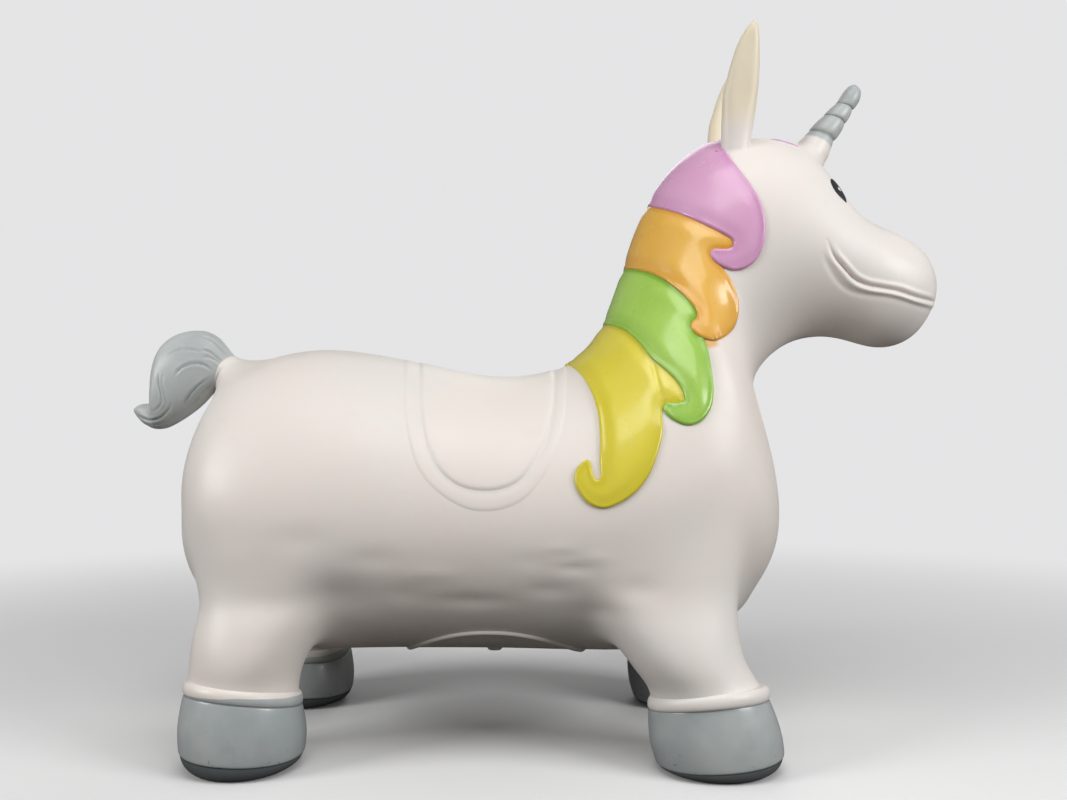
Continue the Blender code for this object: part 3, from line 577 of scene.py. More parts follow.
class Outline:
    """A closed line on the skin: how far a point is inside it, along the skin."""

    def __init__(self, points, bottom=False, step=0.0010):
        self.map = SKIN.signed_places(bottom)
        loop = np.array([SKIN.nearest(point)[0] for point in even_loop(points, step)])
        apart = np.linalg.norm(loop - np.roll(loop, 1, axis=0), axis=1) > step / 4
        self.points = loop[apart]
        self.flat = self.to_flat(self.points)
        self.tree = kd_tree(self.points)

    def to_flat(self, points):
        return np.array([SKIN.to_flat(point, self.map) for point in points])

    def holds(self, places):
        """Which flat places lie inside the line."""
        x, y = places[:, 0][:, None], places[:, 1][:, None]
        a = self.flat
        b = np.roll(self.flat, -1, axis=0)
        crossing = (a[:, 1] > y) != (b[:, 1] > y)
        rise = np.where(b[:, 1] == a[:, 1], 1.0, b[:, 1] - a[:, 1])
        at = a[:, 0] + (y - a[:, 1]) * (b[:, 0] - a[:, 0]) / rise
        return (np.sum(crossing & (x < at), axis=1) % 2) == 1

    def depths(self, points, places, batch=2000):
        """The distance of each point from the line, negative outside."""
        away = np.array([self.tree.find(Vector(point))[2] for point in points])
        inside = np.concatenate([
            self.holds(places[start:start + batch]) for start in range(0, len(places), batch)])
        return np.where(inside, away, -away)


# Rows of points that follow an outline inwards, by their depths, and how they are chosen
CONTOURS = (0.0003, 0.0007, 0.0012, 0.0018, 0.0025, 0.0033, 0.0042, 0.0053)
FINE_CONTOURS = 5
CONTOUR_KEEP = 0.93
CONTOUR_GAP = 0.0008
TRIAL_STEP = 0.0015
# About how long one ring and one row are, in metres, and room round an outline in both
FLAT_SCALE = np.array((0.025, 0.030))
FLAT_MERGE = 1e-7
FLAT_ROOM = 0.2
EASE_ROUNDS, EASE_PULL, EASE_DEPTH = 3, 0.3, 0.0004
FACE_SAMPLE = 37


def patch_mesh(name, outline, height_at, contours=CONTOURS):
    """A fine skin over an outline, raised off the body by the height at each depth in it."""
    rim = len(outline.points)
    tangents = np.roll(outline.points, -1, axis=0) - np.roll(outline.points, 1, axis=0)
    normals = np.array([SKIN.nearest(point)[1] for point in outline.points])
    inward = np.cross(normals, tangents)
    inward /= np.maximum(np.linalg.norm(inward, axis=1), TINY)[:, None]
    if outline.holds(outline.to_flat(outline.points + inward * TRIAL_STEP)).mean() < 0.5:
        inward = -inward
    points = [outline.points]
    for count, depth in enumerate(contours):
        stride = 1 if count < FINE_CONTOURS else 2
        row = [SKIN.nearest(point)[0]
               for point in outline.points[::stride] + inward[::stride] * depth]
        row = [place for place in row
               if outline.tree.find(Vector(place))[2] > depth * CONTOUR_KEEP]
        points += [np.array(row)] if row else []
    flat = [outline.flat] + [outline.to_flat(row) for row in points[1:]]
    inner, inner_flat = inner_points(outline, contours[-1] + CONTOUR_GAP)
    points = np.vstack(points + [inner])
    flat = np.vstack(flat + [inner_flat])
    verts, _, faces, origins, _, _ = delaunay_2d_cdt(
        [Vector(place * FLAT_SCALE) for place in flat],
        [(index, (index + 1) % rim) for index in range(rim)], [], 1, FLAT_MERGE)
    flat = np.array([[vert.x, vert.y] for vert in verts]) / FLAT_SCALE
    sources = np.array([origin[0] if origin else -1 for origin in origins])
    base = points[np.maximum(sources, 0)]
    depths = outline.depths(base, flat)
    depths[(sources >= 0) & (sources < rim)] = 0.0
    heights = height_at(np.maximum(depths, 0.0), base, flat)
    lifted = np.empty_like(base)
    for index, point in enumerate(base):
        place, normal, _ = SKIN.nearest(point)
        lifted[index] = place + normal * heights[index]
    faces = np.array(faces)
    share = np.where(depths > EASE_DEPTH, EASE_PULL, 0.0)
    for turn in (1, -1) * EASE_ROUNDS:
        draw_in(lifted, faces.ravel(), np.roll(faces, turn, axis=1).ravel(), share)
    mesh = bpy.data.meshes.new(name)
    mesh.from_pydata(lifted.tolist(), [], faces.tolist())
    orient(mesh)
    set_attribute(mesh, "depth", depths)
    return mesh


def inner_points(outline, least):
    """Skin vertices well inside an outline, and their flat places."""
    low, high = outline.flat.min(axis=0), outline.flat.max(axis=0)
    middle = outline.map.mean(axis=1)
    near = np.flatnonzero(
        SKIN.mapped & (middle > low - FLAT_ROOM).all(axis=1)
        & (middle < high + FLAT_ROOM).all(axis=1))
    found = {}
    for triangle in near:
        for vertex, place in zip(SKIN.corners[triangle].tolist(), outline.map[triangle]):
            found.setdefault(vertex, place)
    keys = sorted(found)
    points = SKIN.points[keys]
    flat = np.array([found[key] for key in keys])
    chosen = outline.depths(points, flat) > least
    return points[chosen], flat[chosen]


def orient(mesh):
    """Turns the faces of an open skin so that most look away from the body."""
    shape = bmesh.new()
    shape.from_mesh(mesh)
    bmesh.ops.recalc_face_normals(shape, faces=shape.faces)
    turned = sum(
        1 if SKIN.nearest(face.calc_center_median())[1] @ np.array(face.normal) > 0 else -1
        for face in list(shape.faces)[::FACE_SAMPLE])
    if turned < 0:
        bmesh.ops.reverse_faces(shape, faces=shape.faces)
    for face in shape.faces:
        face.smooth = True
    shape.to_mesh(mesh)
    shape.free()


def set_attribute(mesh, name, values):
    mesh.attributes.new(name, "FLOAT", "POINT").data.foreach_set(
        "value", np.asarray(values, np.float32))


def add_object(name, mesh, material):
    obj = bpy.data.objects.new(name, mesh)
    bpy.context.scene.collection.objects.link(obj)
    mesh.materials.clear()
    mesh.materials.append(material)
    return obj


def dress(name, mesh, material, node, body="body"):
    """A piece that rides one body and takes the place of a CAD node."""
    obj = add_object(name, mesh, material)
    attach(obj, body)
    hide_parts(node)


def grow(name, mesh, material, body):
    """A lobe grown out of the skin, which takes its node's place."""
    obj = add_object(name, mesh, material)
    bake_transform(obj)
    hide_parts(body)


def mesh_of(name, points, faces):
    mesh = bpy.data.meshes.new(name)
    mesh.from_pydata([tuple(point) for point in points], [], [tuple(face) for face in faces])
    for face in mesh.polygons:
        face.use_smooth = True
    return mesh


def loft(name, sections, close_end=True, close_start=False):
    """A skin over like-numbered rings of points."""
    sections = np.array(sections)
    rings, around, _ = sections.shape
    points = list(sections.reshape(-1, 3))
    steps = [(step, (step + 1) % around) for step in range(around)]
    faces = []
    for low in range(0, (rings - 1) * around, around):
        high = low + around
        faces += [(low + step, low + after, high + after, high + step) for step, after in steps]
    for wanted, ring in ((close_start, 0), (close_end, rings - 1)):
        if wanted:
            corners = [(ring * around + step, ring * around + after, len(points))
                       for step, after in steps]
            faces += corners if ring else [corner[::-1] for corner in corners]
            points.append(sections[ring].mean(axis=0))
    mesh = mesh_of(name, points, faces)
    shape = bmesh.new()
    shape.from_mesh(mesh)
    bmesh.ops.recalc_face_normals(shape, faces=shape.faces)
    shape.to_mesh(mesh)
    shape.free()
    return mesh


# Materials
def srgb(red, green, blue):
    def linear(value):
        value /= 255.0
        return value / 12.92 if value <= 0.04045 else ((value + 0.055) / 1.055) ** 2.4
    return (linear(red), linear(green), linear(blue), 1.0)


SOFT_RADII = (1.0, 0.55, 0.4)
SOFT_SCALE = 0.004


class Nodes:
    """A short way to write a material's nodes."""

    def __init__(self, name):
        self.material = bpy.data.materials.new(name)
        self.material.use_nodes = True
        self.tree = self.material.node_tree
        self.shader = self.tree.nodes["Principled BSDF"]
        self.place = self.add("ShaderNodeTexCoord").outputs["Object"]

    def feed(self, socket, value):
        """Sets a socket's constant, or links another socket to it."""
        if isinstance(value, bpy.types.NodeSocket):
            self.tree.links.new(value, socket)
        else:
            socket.default_value = value

    def add(self, kind, feeds=None, **settings):
        """A node with its settings, and what feeds its inputs."""
        node = self.tree.nodes.new(kind)
        for key, value in settings.items():
            setattr(node, key, value)
        for key, value in (feeds or {}).items():
            self.feed(node.inputs[key], value)
        return node

    def noise(self, scale, detail=3.0, roughness=0.5, stretch=None):
        place = self.place
        if stretch:
            place = self.add(
                "ShaderNodeMapping", {"Scale": stretch, "Vector": place}).outputs["Vector"]
        return self.add("ShaderNodeTexNoise", {
            "Scale": scale, "Detail": detail, "Roughness": roughness, "Vector": place,
        }).outputs["Fac"]

    def ramp(self, source, low, high, low_value=0.0, high_value=1.0):
        return self.add("ShaderNodeMapRange", {
            "From Min": low, "From Max": high, "To Min": low_value, "To Max": high_value,
            "Value": source}, interpolation_type="SMOOTHSTEP").outputs["Result"]

    def maths(self, operation, first, second):
        return self.add("ShaderNodeMath", {0: first, 1: second}, operation=operation).outputs[0]

    def mix(self, share, first, second):
        return self.add(
            "ShaderNodeMix", {0: share, 6: first, 7: second}, data_type="RGBA").outputs[2]

    def paint(self, base, colour, source, low, high, low_value=0.0, high_value=1.0):
        """A colour over a base, as strong as a ramp of the source."""
        return self.mix(self.ramp(source, low, high, low_value, high_value), base, colour)

    def attribute(self, name):
        return self.add("ShaderNodeAttribute", attribute_name=name).outputs["Fac"]

    def spray(self, name, scale, amount):
        """An attribute whose edge is broken up by fine noise."""
        grain = self.maths("SUBTRACT", self.noise(scale, 4.0), 0.5)
        return self.maths("ADD", self.attribute(name), self.maths("MULTIPLY", grain, amount))

    def bump(self, *layers):
        """Stacks height textures, each (source, strength, distance)."""
        normal = None
        for source, strength, distance in layers:
            feeds = {"Strength": strength, "Distance": distance, "Height": source}
            if normal:
                feeds["Normal"] = normal
            normal = self.add("ShaderNodeBump", feeds).outputs["Normal"]
        self.feed(self.shader.inputs["Normal"], normal)

    def finish(self, colour, roughness, coat=0.0, coat_roughness=0.3, soft=0.0, specular=0.5):
        for key, value in (
            ("Base Color", colour), ("Roughness", roughness), ("Coat Weight", coat),
            ("Coat Roughness", coat_roughness), ("Specular IOR Level", specular),
            ("Subsurface Weight", soft), ("Subsurface Radius", SOFT_RADII),
            ("Subsurface Scale", SOFT_SCALE),
        ):
            self.feed(self.shader.inputs[key], value)
        return self.material


SKIN_TINTS = (srgb(242, 235, 229), srgb(244, 233, 224), srgb(240, 236, 232))
EAR_TINTS = (srgb(237, 226, 201), srgb(236, 222, 188), srgb(240, 231, 216))
HOOF_GREYS = (srgb(172, 179, 180), srgb(188, 193, 192))
# The horn and tail take a lighter copy of the hooves' grey paint: painted light
LIT_ROOT_GREYS = (srgb(184, 190, 190), srgb(202, 206, 203))


def vinyl_colour(n, colour, warm, cool):
    """Soft moulded skin's colour: a clouded tint with handling marks."""
    clouds = n.ramp(n.noise(7.0, 4.0), 0.38, 0.64)
    base = n.mix(0.45, colour, n.mix(clouds, warm, cool))
    base = n.paint(base, srgb(196, 180, 164), n.noise(38.0, 6.0, 0.65), 0.60, 0.80, 0.0, 0.10)
    return n.paint(base, srgb(160, 142, 126), n.noise(330.0, 1.0), 0.80, 0.85, 0.0, 0.20)


def grey_colour(n, dark, pale):
    """Sprayed satin grey with clouding, fine scratches and rubbed dirt."""
    base = n.paint(dark, pale, n.noise(20.0, 4.0, 0.6), 0.35, 0.68)
    scratches = n.noise(90.0, 5.0, 0.7, (0.35, 1.0, 1.6))
    base = n.paint(base, srgb(206, 209, 206), scratches, 0.60, 0.76, 0.0, 0.35)
    return n.paint(base, srgb(136, 142, 140), n.noise(46.0, 5.0, 0.7), 0.58, 0.78, 0.0, 0.30)


def skin_material(name, paint=None):
    """The soft skin, with paint over it where a vertex attribute says."""
    n = Nodes(name)
    base = vinyl_colour(n, *SKIN_TINTS)
    if paint == "ear":
        base = n.paint(base, vinyl_colour(n, *EAR_TINTS), n.attribute("ear"), 0.0, 1.0)
    if paint == "grey":
        grey = grey_colour(n, *LIT_ROOT_GREYS)
        # Painted shade in the grooves and creases of horn, tail and rear cuffs
        grey = n.paint(
            grey, srgb(112, 120, 121), n.attribute("groove_shade"), 0.15, 0.95, 0.0, 0.55)
        base = n.paint(base, grey, n.spray("grey", 170.0, 0.28), 0.30, 0.70)
    if paint == "orange":
        base = n.paint(
            base, srgb(238, 178, 84), n.spray("orange", 300.0, 0.5), 0.15, 0.95, 0.0, 0.85)
    rough = n.ramp(n.noise(30.0, 3.0), 0.3, 0.7, 0.40, 0.53)
    n.bump((n.noise(16.0), 0.14, 0.004), (n.noise(210.0), 0.05, 0.0008),
           (n.noise(1500.0, 2.0), 0.06, 0.0002))
    coat, coat_roughness = (0.22, 0.24) if paint == "grey" else (0.08, 0.32)
    return n.finish(base, rough, coat, coat_roughness, soft=0.14)


def lock_paint(name, body, deep, pale, scuff):
    """Glossy sprayed paint over soft skin, deeper at the rim, with painted shade in the channel,
    along the edge and beside the lock above, and with scuffs and dark nicks.
    """
    n = Nodes(name)
    body, deep, pale, scuff = srgb(*body), srgb(*deep), srgb(*pale), srgb(*scuff)
    depth = n.attribute("depth")
    cloud = n.maths("MULTIPLY", n.noise(22.0, 4.0, 0.6), 0.008)
    centre = n.ramp(n.maths("ADD", depth, cloud), 0.004, 0.020)
    base = n.paint(deep, body, centre, 0.0, 1.0, 0.55, 0.95)
    base = n.paint(base, pale, n.noise(9.0), 0.45, 0.72, 0.0, 0.60)
    # Painted shade in the channel inside the rim bead, and along the very edge where the lock
    # meets the skin
    channel = n.maths("MULTIPLY", n.ramp(depth, 0.0016, 0.0027), n.ramp(depth, 0.0050, 0.0030))
    base = n.mix(n.maths("MULTIPLY", channel, 0.30), base, deep)
    base = n.paint(base, deep, depth, 0.0, 0.0008, 0.6, 0.0)
    # Painted shade where the lock lies beside the one above it
    base = n.paint(base, deep, n.attribute("shade"), 0.1, 1.0, 0.0, 0.75)
    strokes = n.noise(60.0, 4.0, 0.6, (1.0, 1.0, 0.25))
    base = n.paint(base, scuff, strokes, 0.58, 0.78, 0.0, 0.30)
    base = n.paint(base, srgb(96, 84, 60), n.noise(150.0, 2.0), 0.765, 0.79, 0.0, 0.75)
    rough = n.ramp(n.noise(45.0, 4.0), 0.3, 0.75, 0.26, 0.42)
    n.bump((n.noise(34.0), 0.16, 0.003), (n.noise(320.0), 0.07, 0.0006))
    return n.finish(base, rough, coat=0.50, coat_roughness=0.13, soft=0.10)


def hoof_material(name):
    """Satin grey hoof, with painted shade over its sole and in its creases, and small worn chips
    low down.
    """
    n = Nodes(name)
    base = grey_colour(n, *HOOF_GREYS)
    height = n.add("ShaderNodeSeparateXYZ", {0: n.place}).outputs["Z"]
    chips = n.ramp(n.noise(260.0, 3.0, 0.6), 0.655, 0.69)
    low = n.maths("MULTIPLY", chips, n.ramp(height, 0.006, 0.022, 1.0, 0.0))
    base = n.mix(n.maths("MULTIPLY", low, 0.85), base, srgb(72, 74, 74))
    # Painted shade over the sole, which faces the floor
    base = n.paint(base, srgb(82, 87, 89), n.attribute("sole_shade"), 0.3, 0.7, 0.0, 0.92)
    # Painted shade in the creases at the sole's edge and under the cuff
    base = n.paint(base, srgb(78, 83, 85), n.attribute("groove_shade"), 0.2, 1.0, 0.0, 0.7)
    rough = n.ramp(n.noise(55.0, 4.0), 0.3, 0.75, 0.32, 0.48)
    n.bump((n.noise(28.0), 0.14, 0.003), (n.noise(260.0, 4.0), 0.08, 0.0006))
    return n.finish(base, rough, coat=0.45, coat_roughness=0.15, soft=0.03)


def eye_paint(name):
    """Satin charcoal paint with a small white painted highlight."""
    n = Nodes(name)
    base = n.paint(srgb(30, 29, 31), srgb(50, 50, 53), n.attribute("depth"), 0.0, 0.0022)
    base = n.paint(base, srgb(72, 72, 76), n.noise(120.0, 4.0), 0.45, 0.75, 0.0, 0.35)
    # Painted highlight: a white spot on the eye
    base = n.paint(base, srgb(238, 238, 240), n.attribute("painted_highlight"), 0.45, 0.55)
    n.bump((n.noise(180.0), 0.05, 0.0006))
    return n.finish(base, 0.46, coat=0.12, coat_roughness=0.25, specular=0.3)


CREAM = skin_material("cream_skin")
SPRAYED_CREAM = skin_material("body_skin_paint", "orange")
EAR_CREAM = skin_material("ear_skin", "ear")
ROOT_PAINT = skin_material("painted_root", "grey")
HOOF_GREY = hoof_material("hoof_paint")
EYE_BLACK = eye_paint("eye_paint")
# Each lock's paint: its body, its deeper rim, which also paints its shade, its pale clouds and its
# scuffs
LOCK_PAINTS = {colour: lock_paint(colour + "_lock_paint", *tints) for colour, tints in {
    "pink": ((233, 177, 214), (213, 150, 197), (243, 200, 230), (246, 214, 238)),
    "orange": ((245, 191, 83), (231, 162, 48), (250, 214, 134), (252, 226, 168)),
    "green": ((174, 218, 90), (124, 182, 46), (204, 234, 136), (210, 238, 160)),
    "yellow": ((236, 221, 72), (212, 197, 42), (242, 230, 110), (244, 234, 146)),
}.items()}


# Skin: the mouth is pressed into a finer mesh, then the skin is parted at the hips
def line_field(points, line):
    """For each point its distance to a line of points and its share along that line."""
    tree = kd_tree(line)
    found = [tree.find(Vector(point)) for point in points]
    return (np.array([item[2] for item in found]),
            np.array([item[1] for item in found]) / max(len(line) - 1, 1))


MOUTH = seen_line(MOUTH_LINE, LINE_STEP)
LIP = seen_line(LIP_LINE, LINE_STEP)
# The face lies ahead of the first and between the two heights, and is fine this near the mouth
FACE_BACK, FACE_LOW, FACE_HIGH = 0.19, 0.27, 0.39
MOUTH_ROOM = 0.0085
MOUTH_CUTS = 2
# Depth and half width of the mouth's groove, its rolled edge, the lower line and the lip
GROOVE_DEPTH, GROOVE_REACH = -0.0017, 0.00100
ROLL_HEIGHT, ROLL_AWAY, ROLL_REACH = 0.0006, 0.0032, 0.0018
UNDER_DEPTH, UNDER_REACH = -0.0006, 0.0022
LIP_HEIGHT, LIP_REACH, LIP_SPAN = 0.0008, 0.0035, 0.0095


def press_mouth(shape):
    points = np.array([vert.co[:] for vert in shape.verts])
    near = np.flatnonzero(
        (points[:, 0] > FACE_BACK) & (points[:, 2] < FACE_HIGH) & (points[:, 2] > FACE_LOW))
    folded = near_side(points[near])
    away, share = line_field(folded, MOUTH)
    start = smoothstep(0.0, 0.22, share)
    middle = 1 - 0.55 * smoothstep(0.90, 1.0, share)
    press = GROOVE_DEPTH * hump(away, GROOVE_REACH) * (0.15 + 0.85 * start) * middle
    press += ROLL_HEIGHT * hump(away - ROLL_AWAY, ROLL_REACH) * start * middle
    lip_away, lip_share = line_field(folded, LIP)
    fade = smoothstep(0.0, 0.15, lip_share) * (1 - 0.5 * smoothstep(0.40, 0.70, lip_share))
    press += UNDER_DEPTH * hump(lip_away, UNDER_REACH) * fade * middle
    between = hump(away - lip_away, LIP_REACH) * np.exp(-((away + lip_away) / LIP_SPAN) ** 4)
    press += LIP_HEIGHT * between * smoothstep(0.05, 0.35, share) * middle
    shape.verts.ensure_lookup_table()
    for index, amount in zip(near, press):
        vert = shape.verts[index]
        vert.co += vert.normal * float(amount)


# Each foot's place along the animal, its side and its ankle's tilt
FEET = {
    end + "_" + hand: (x + FRAME_SHIFT, side, tilt)
    for end, x, tilt in (("rear", REAR_FOOT_X, -ANKLE_TILT), ("front", FRONT_FOOT_X, ANKLE_TILT))
    for hand, side in (("left", 1.0), ("right", -1.0))
}
# How far a leg's faces lie from its foot's middle, and how far it goes down into the cuff
LEG_ROOM = (0.062, 0.049)
LEG_OVERLAP = 0.006
LEFT_OUT = 9
# Orange paint that strayed below the hook of its lock
STRAY_PIXELS = ((703, 342), (708, 343.5), (713, 342.5))
STRAY_REACH = 0.0042


def make_skin():
    """The skin with its mouth, parted into the body and four legs."""
    shape = bmesh.new()
    shape.from_mesh(SKIN_MESH)
    points = near_side(np.array([face.calc_center_median()[:] for face in shape.faces]))
    head = np.flatnonzero((points[:, 0] > FACE_BACK) & (points[:, 2] > FACE_LOW))
    away, _ = line_field(points[head], np.vstack([MOUTH, LIP]))
    shape.faces.ensure_lookup_table()
    edges = {edge for index in head[away < MOUTH_ROOM] for edge in shape.faces[index].edges}
    bmesh.ops.subdivide_edges(
        shape, edges=list(edges), cuts=MOUTH_CUTS, use_grid_fill=True)
    shape.normal_update()
    press_mouth(shape)
    shape.normal_update()
    whole = bpy.data.meshes.new("whole_skin")
    shape.to_mesh(whole)
    shape.free()
    centres = gather(whole.polygons, "center")
    side = np.sign(centres[:, 1])
    across = np.abs(centres[:, 1]) - FOOT_TRACK
    rise = centres[:, 2] - (BELLY_HEIGHT + LEG_RISE)
    below = -(rise * math.cos(HIP_SLOPE) - across * math.sin(HIP_SLOPE))
    owner = np.full(len(centres), -1)
    for number, (x, foot_side, tilt) in enumerate(FEET.values()):
        mine = (below > 0) & (side == foot_side) & (np.abs(centres[:, 0] - x) < LEG_ROOM[0])
        mine &= np.abs(across) < LEG_ROOM[1]
        owner[mine] = number
        ankle = CUFF_TOP - LEG_OVERLAP + (centres[:, 0] - x) * math.tan(tilt)
        owner[mine & (centres[:, 2] < ankle)] = LEFT_OUT
    names = ["body_shell"] + ["leg_shell_" + place for place in FEET]
    return [part_of(name, whole, np.flatnonzero(owner == number))
            for number, name in enumerate(names, start=-1)]


def part_of(name, whole, faces):
    """Some faces of a mesh as a mesh of their own, with the whole mesh's shading."""
    polygons = [tuple(whole.polygons[index].vertices) for index in faces.tolist()]
    used = sorted({vertex for polygon in polygons for vertex in polygon})
    number = {vertex: index for index, vertex in enumerate(used)}
    mesh = mesh_of(
        name, coordinates(whole)[used],
        [[number[vertex] for vertex in polygon] for polygon in polygons])
    mesh.normals_split_custom_set_from_vertices(vertex_normals(whole)[used].tolist())
    return mesh


body, *legs = make_skin()
body_points = near_side(coordinates(body))
set_attribute(body, "orange", np.max([
    hump(np.linalg.norm(body_points - SKIN.seen(*pixel), axis=1), STRAY_REACH)
    for pixel in STRAY_PIXELS], axis=0))
dress("body_shell", body, SPRAYED_CREAM, "body_skin")
for mesh, (place, (x, side, _)) in zip(legs, FEET.items()):
    leg = add_object("leg_shell_" + place, mesh, CREAM)
    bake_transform(leg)
    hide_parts("leg_" + place)

CREST_TRIES = 61


def crest_near(point):
    """The nearest place on the top of the back, neck or head to a middle plane point."""
    hits = []
    for angle in np.linspace(0.0, math.pi, CREST_TRIES):
        direction = Vector((-math.cos(angle), 0.0, math.sin(angle)))
        hits += [SKIN.tree.ray_cast(Vector(point), direction * sign) for sign in (1.0, -1.0)]
    hits = [hit for hit in hits if hit[0] is not None]
    place = min(hits, key=lambda hit: hit[3])[0] if hits else SKIN.nearest(point)[0]
    return np.array((place[0], 0.0, place[2]))


def over_back(pixels, step):
    """A line through pixels of the near side, over the crest and down the far side."""
    near = seen_line(pixels, step)
    near[0] = crest_near(on_plane(*pixels[0]))
    near[-1] = crest_near(on_plane(*pixels[-1]))
    return both_sides(near)


# Mane locks: a round edge, a rim bead, a channel inside it and a full middle
EDGE_RUN = 0.0017
CHANNEL_END, FULL_START, FULL_END = 0.0031, 0.0028, 0.0110
LOCK_SHAPE = {"top": 0.0029, "bead": 0.0023, "sink": 0.0006, "channel": 0.0005}
FORELOCK_SHAPE = {"top": 0.0016, "bead": 0.0012, "sink": 0.0004, "channel": 0.0002}
LOCK_STEP = 1.5
# Where a lock is thinner and painted in shade beside the one above it, and how far it goes under
# it
THIN_RUN, THIN_SHARE = (-0.010, -0.0006), 0.55
SHADE_RUN = (-0.0045, -0.0005)
UNDER_RUN, UNDER_SINK = (0.0004, 0.0030), 0.0012
FOLD_DEPTH, FOLD_REACH = 0.0013, 0.0014


def puffed(depth, top, bead, sink, channel):
    """The height of a padded lock at a depth in it."""
    base = -sink + (bead + sink) * dome(depth, EDGE_RUN)
    dip = -channel * smoothstep(EDGE_RUN, CHANNEL_END, depth)
    return base + dip + (top - bead + channel) * smoothstep(FULL_START, FULL_END, depth)


def make_lock(colour, pixels, upper=None, fold=None):
    """A lock under the one above it, whose outline it returns."""
    outline = Outline(over_back(pixels, LOCK_STEP))
    shades = []

    def height_at(depth, base, flat):
        height = puffed(depth, **LOCK_SHAPE)
        shades.append(np.zeros(len(depth)))
        if upper is not None:
            cover = upper.depths(base, flat)
            shades.append(smoothstep(*SHADE_RUN, cover))
            height = height * (1 - THIN_SHARE * smoothstep(*THIN_RUN, cover))
            height -= (height + UNDER_SINK) * smoothstep(*UNDER_RUN, cover)
        if fold is not None:
            away, share = line_field(near_side(base), fold)
            height -= FOLD_DEPTH * hump(away, FOLD_REACH) * smoothstep(0.0, 0.2, share)
        return height

    mesh = patch_mesh(colour + "_lock", outline, height_at)
    set_attribute(mesh, "shade", shades[-1])
    dress(colour + "_lock", mesh, LOCK_PAINTS[colour], "mane_lock_" + colour)
    return outline


above = make_lock("pink", PINK)
above = make_lock("orange", ORANGE, above)
above = make_lock("green", GREEN, above)
make_lock("yellow", YELLOW, above, seen_line(YELLOW_FOLD, LINE_STEP))

# Saddle, pressed shallowly into the back
SADDLE_CONTOURS = (0.0006, 0.0012, 0.0018, 0.0025, 0.0034, 0.0046)
SADDLE_STEPS = (2.0, 0.0015)
SADDLE_RUN = 0.0030
SEAT_TOP, SEAT_SINK = 0.00115, 0.00025
SKIRT_RISE, SKIRT_SINK = 0.00075, 0.00022
SKIRT_DIP, SKIRT_DIP_RUN = 0.00095, (-0.0026, 0.0002)


def seat_height(depth, base, flat):
    return -SEAT_SINK + (SEAT_TOP + SEAT_SINK) * smoothstep(0.0, SADDLE_RUN, depth)


def skirt_height(depth, base, flat):
    height = -SKIRT_SINK + SKIRT_RISE * smoothstep(0.0, SADDLE_RUN, depth)
    return height - SKIRT_DIP * smoothstep(*SKIRT_DIP_RUN, seat_outline.depths(base, flat))


seat_outline = Outline(over_back(SADDLE_SEAT, SADDLE_STEPS[0]), step=SADDLE_STEPS[1])
skirt_outline = Outline(over_back(SADDLE_SKIRT, SADDLE_STEPS[0]), step=SADDLE_STEPS[1])
for node, outline, height_at in (
    ("saddle_seat", seat_outline, seat_height), ("saddle_skirt", skirt_outline, skirt_height),
):
    name = node + "_skin"
    dress(name, patch_mesh(name, outline, height_at, SADDLE_CONTOURS), CREAM, node)

# Forelock on the crown: x and half width
FORELOCK = [
    (0.1730, 0.0), (0.1740, 0.0080), (0.1800, 0.0140), (0.1890, 0.0160), (0.1955, 0.0135),
    (0.1975, 0.0095), (0.1955, 0.0075), (0.1930, 0.0060), (0.1970, 0.0035), (0.2005, 0.0036),
    (0.2020, 0.0018), (0.2015, 0.0),
]
FORELOCK_STEP = 0.0006
ABOVE_ALL = 0.8

crown = [SKIN.ray((x, -y, ABOVE_ALL), (0.0, 0.0, -1.0))
         for x, y in smooth_line(FORELOCK, FORELOCK_STEP)]
dress("forelock_tuft", patch_mesh(
    "forelock_tuft", Outline(both_sides(crown), step=FORELOCK_STEP),
    lambda depth, base, flat: puffed(depth, **FORELOCK_SHAPE), CONTOURS[:6]),
    LOCK_PAINTS["pink"], "forelock")

# Eyes on the face: the leaf's outline from its top to its lower tip, and the white painted
# highlight
EYE_LEAF = [
    (-0.0140, -0.0010), (-0.0110, 0.0042), (-0.0050, 0.0073), (0.0020, 0.0076), (0.0085, 0.0052),
    (0.0140, 0.0006), (0.0150, -0.0002), (0.0095, -0.0042), (0.0030, -0.0064), (-0.0050, -0.0066),
    (-0.0110, -0.0044),
]
EYE_SCALE = (0.78, 0.92)
EYE_STEP = 0.0005
EYE_PIXEL, HIGHLIGHT_PIXEL = (838.8, 190.0), (838.5, 190.0)
HIGHLIGHT_RADII = (0.0019, 0.0017)
EYE_CONTOURS = (0.0002, 0.0005, 0.0009, 0.0014, 0.0020)
EYE_SINK, EYE_RISE, EYE_EDGE = 0.0003, 0.0009, 0.0011
EYE_SWELL, EYE_SWELL_RUN = 0.0005, (0.0010, 0.0060)


def eye_height(depth, base, flat):
    return -EYE_SINK + EYE_RISE * dome(depth, EYE_EDGE) + EYE_SWELL * smoothstep(
        *EYE_SWELL_RUN, depth)


def make_eye(hand, side):
    def on_face(column, row):
        seen = SKIN.seen(column, row)
        return SKIN.nearest((seen[0], side * abs(seen[1]), seen[2]))

    place, normal, _ = on_face(*EYE_PIXEL)
    up = unit(np.array((0.0, 0.0, 1.0)) - normal * normal[2])
    across = np.cross(up, normal) * side
    loop = np.array([
        SKIN.nearest(place - up * along * EYE_SCALE[0] + across * aside * EYE_SCALE[1])[0]
        for along, aside in smooth_line(EYE_LEAF, EYE_STEP, closed=True)])
    name = "painted_eye_" + hand
    mesh = patch_mesh(name, Outline(loop, step=EYE_STEP), eye_height, EYE_CONTOURS)
    # Where the painted highlight lies on the eye, and its size
    points = coordinates(mesh) - on_face(*HIGHLIGHT_PIXEL)[0]
    set_attribute(mesh, "painted_highlight", 1 - 0.5 * np.hypot(
        points @ up / HIGHLIGHT_RADII[0], points @ across / HIGHLIGHT_RADII[1]))
    dress(name, mesh, EYE_BLACK, "eye_" + hand)


make_eye("left", 1.0)
make_eye("right", -1.0)

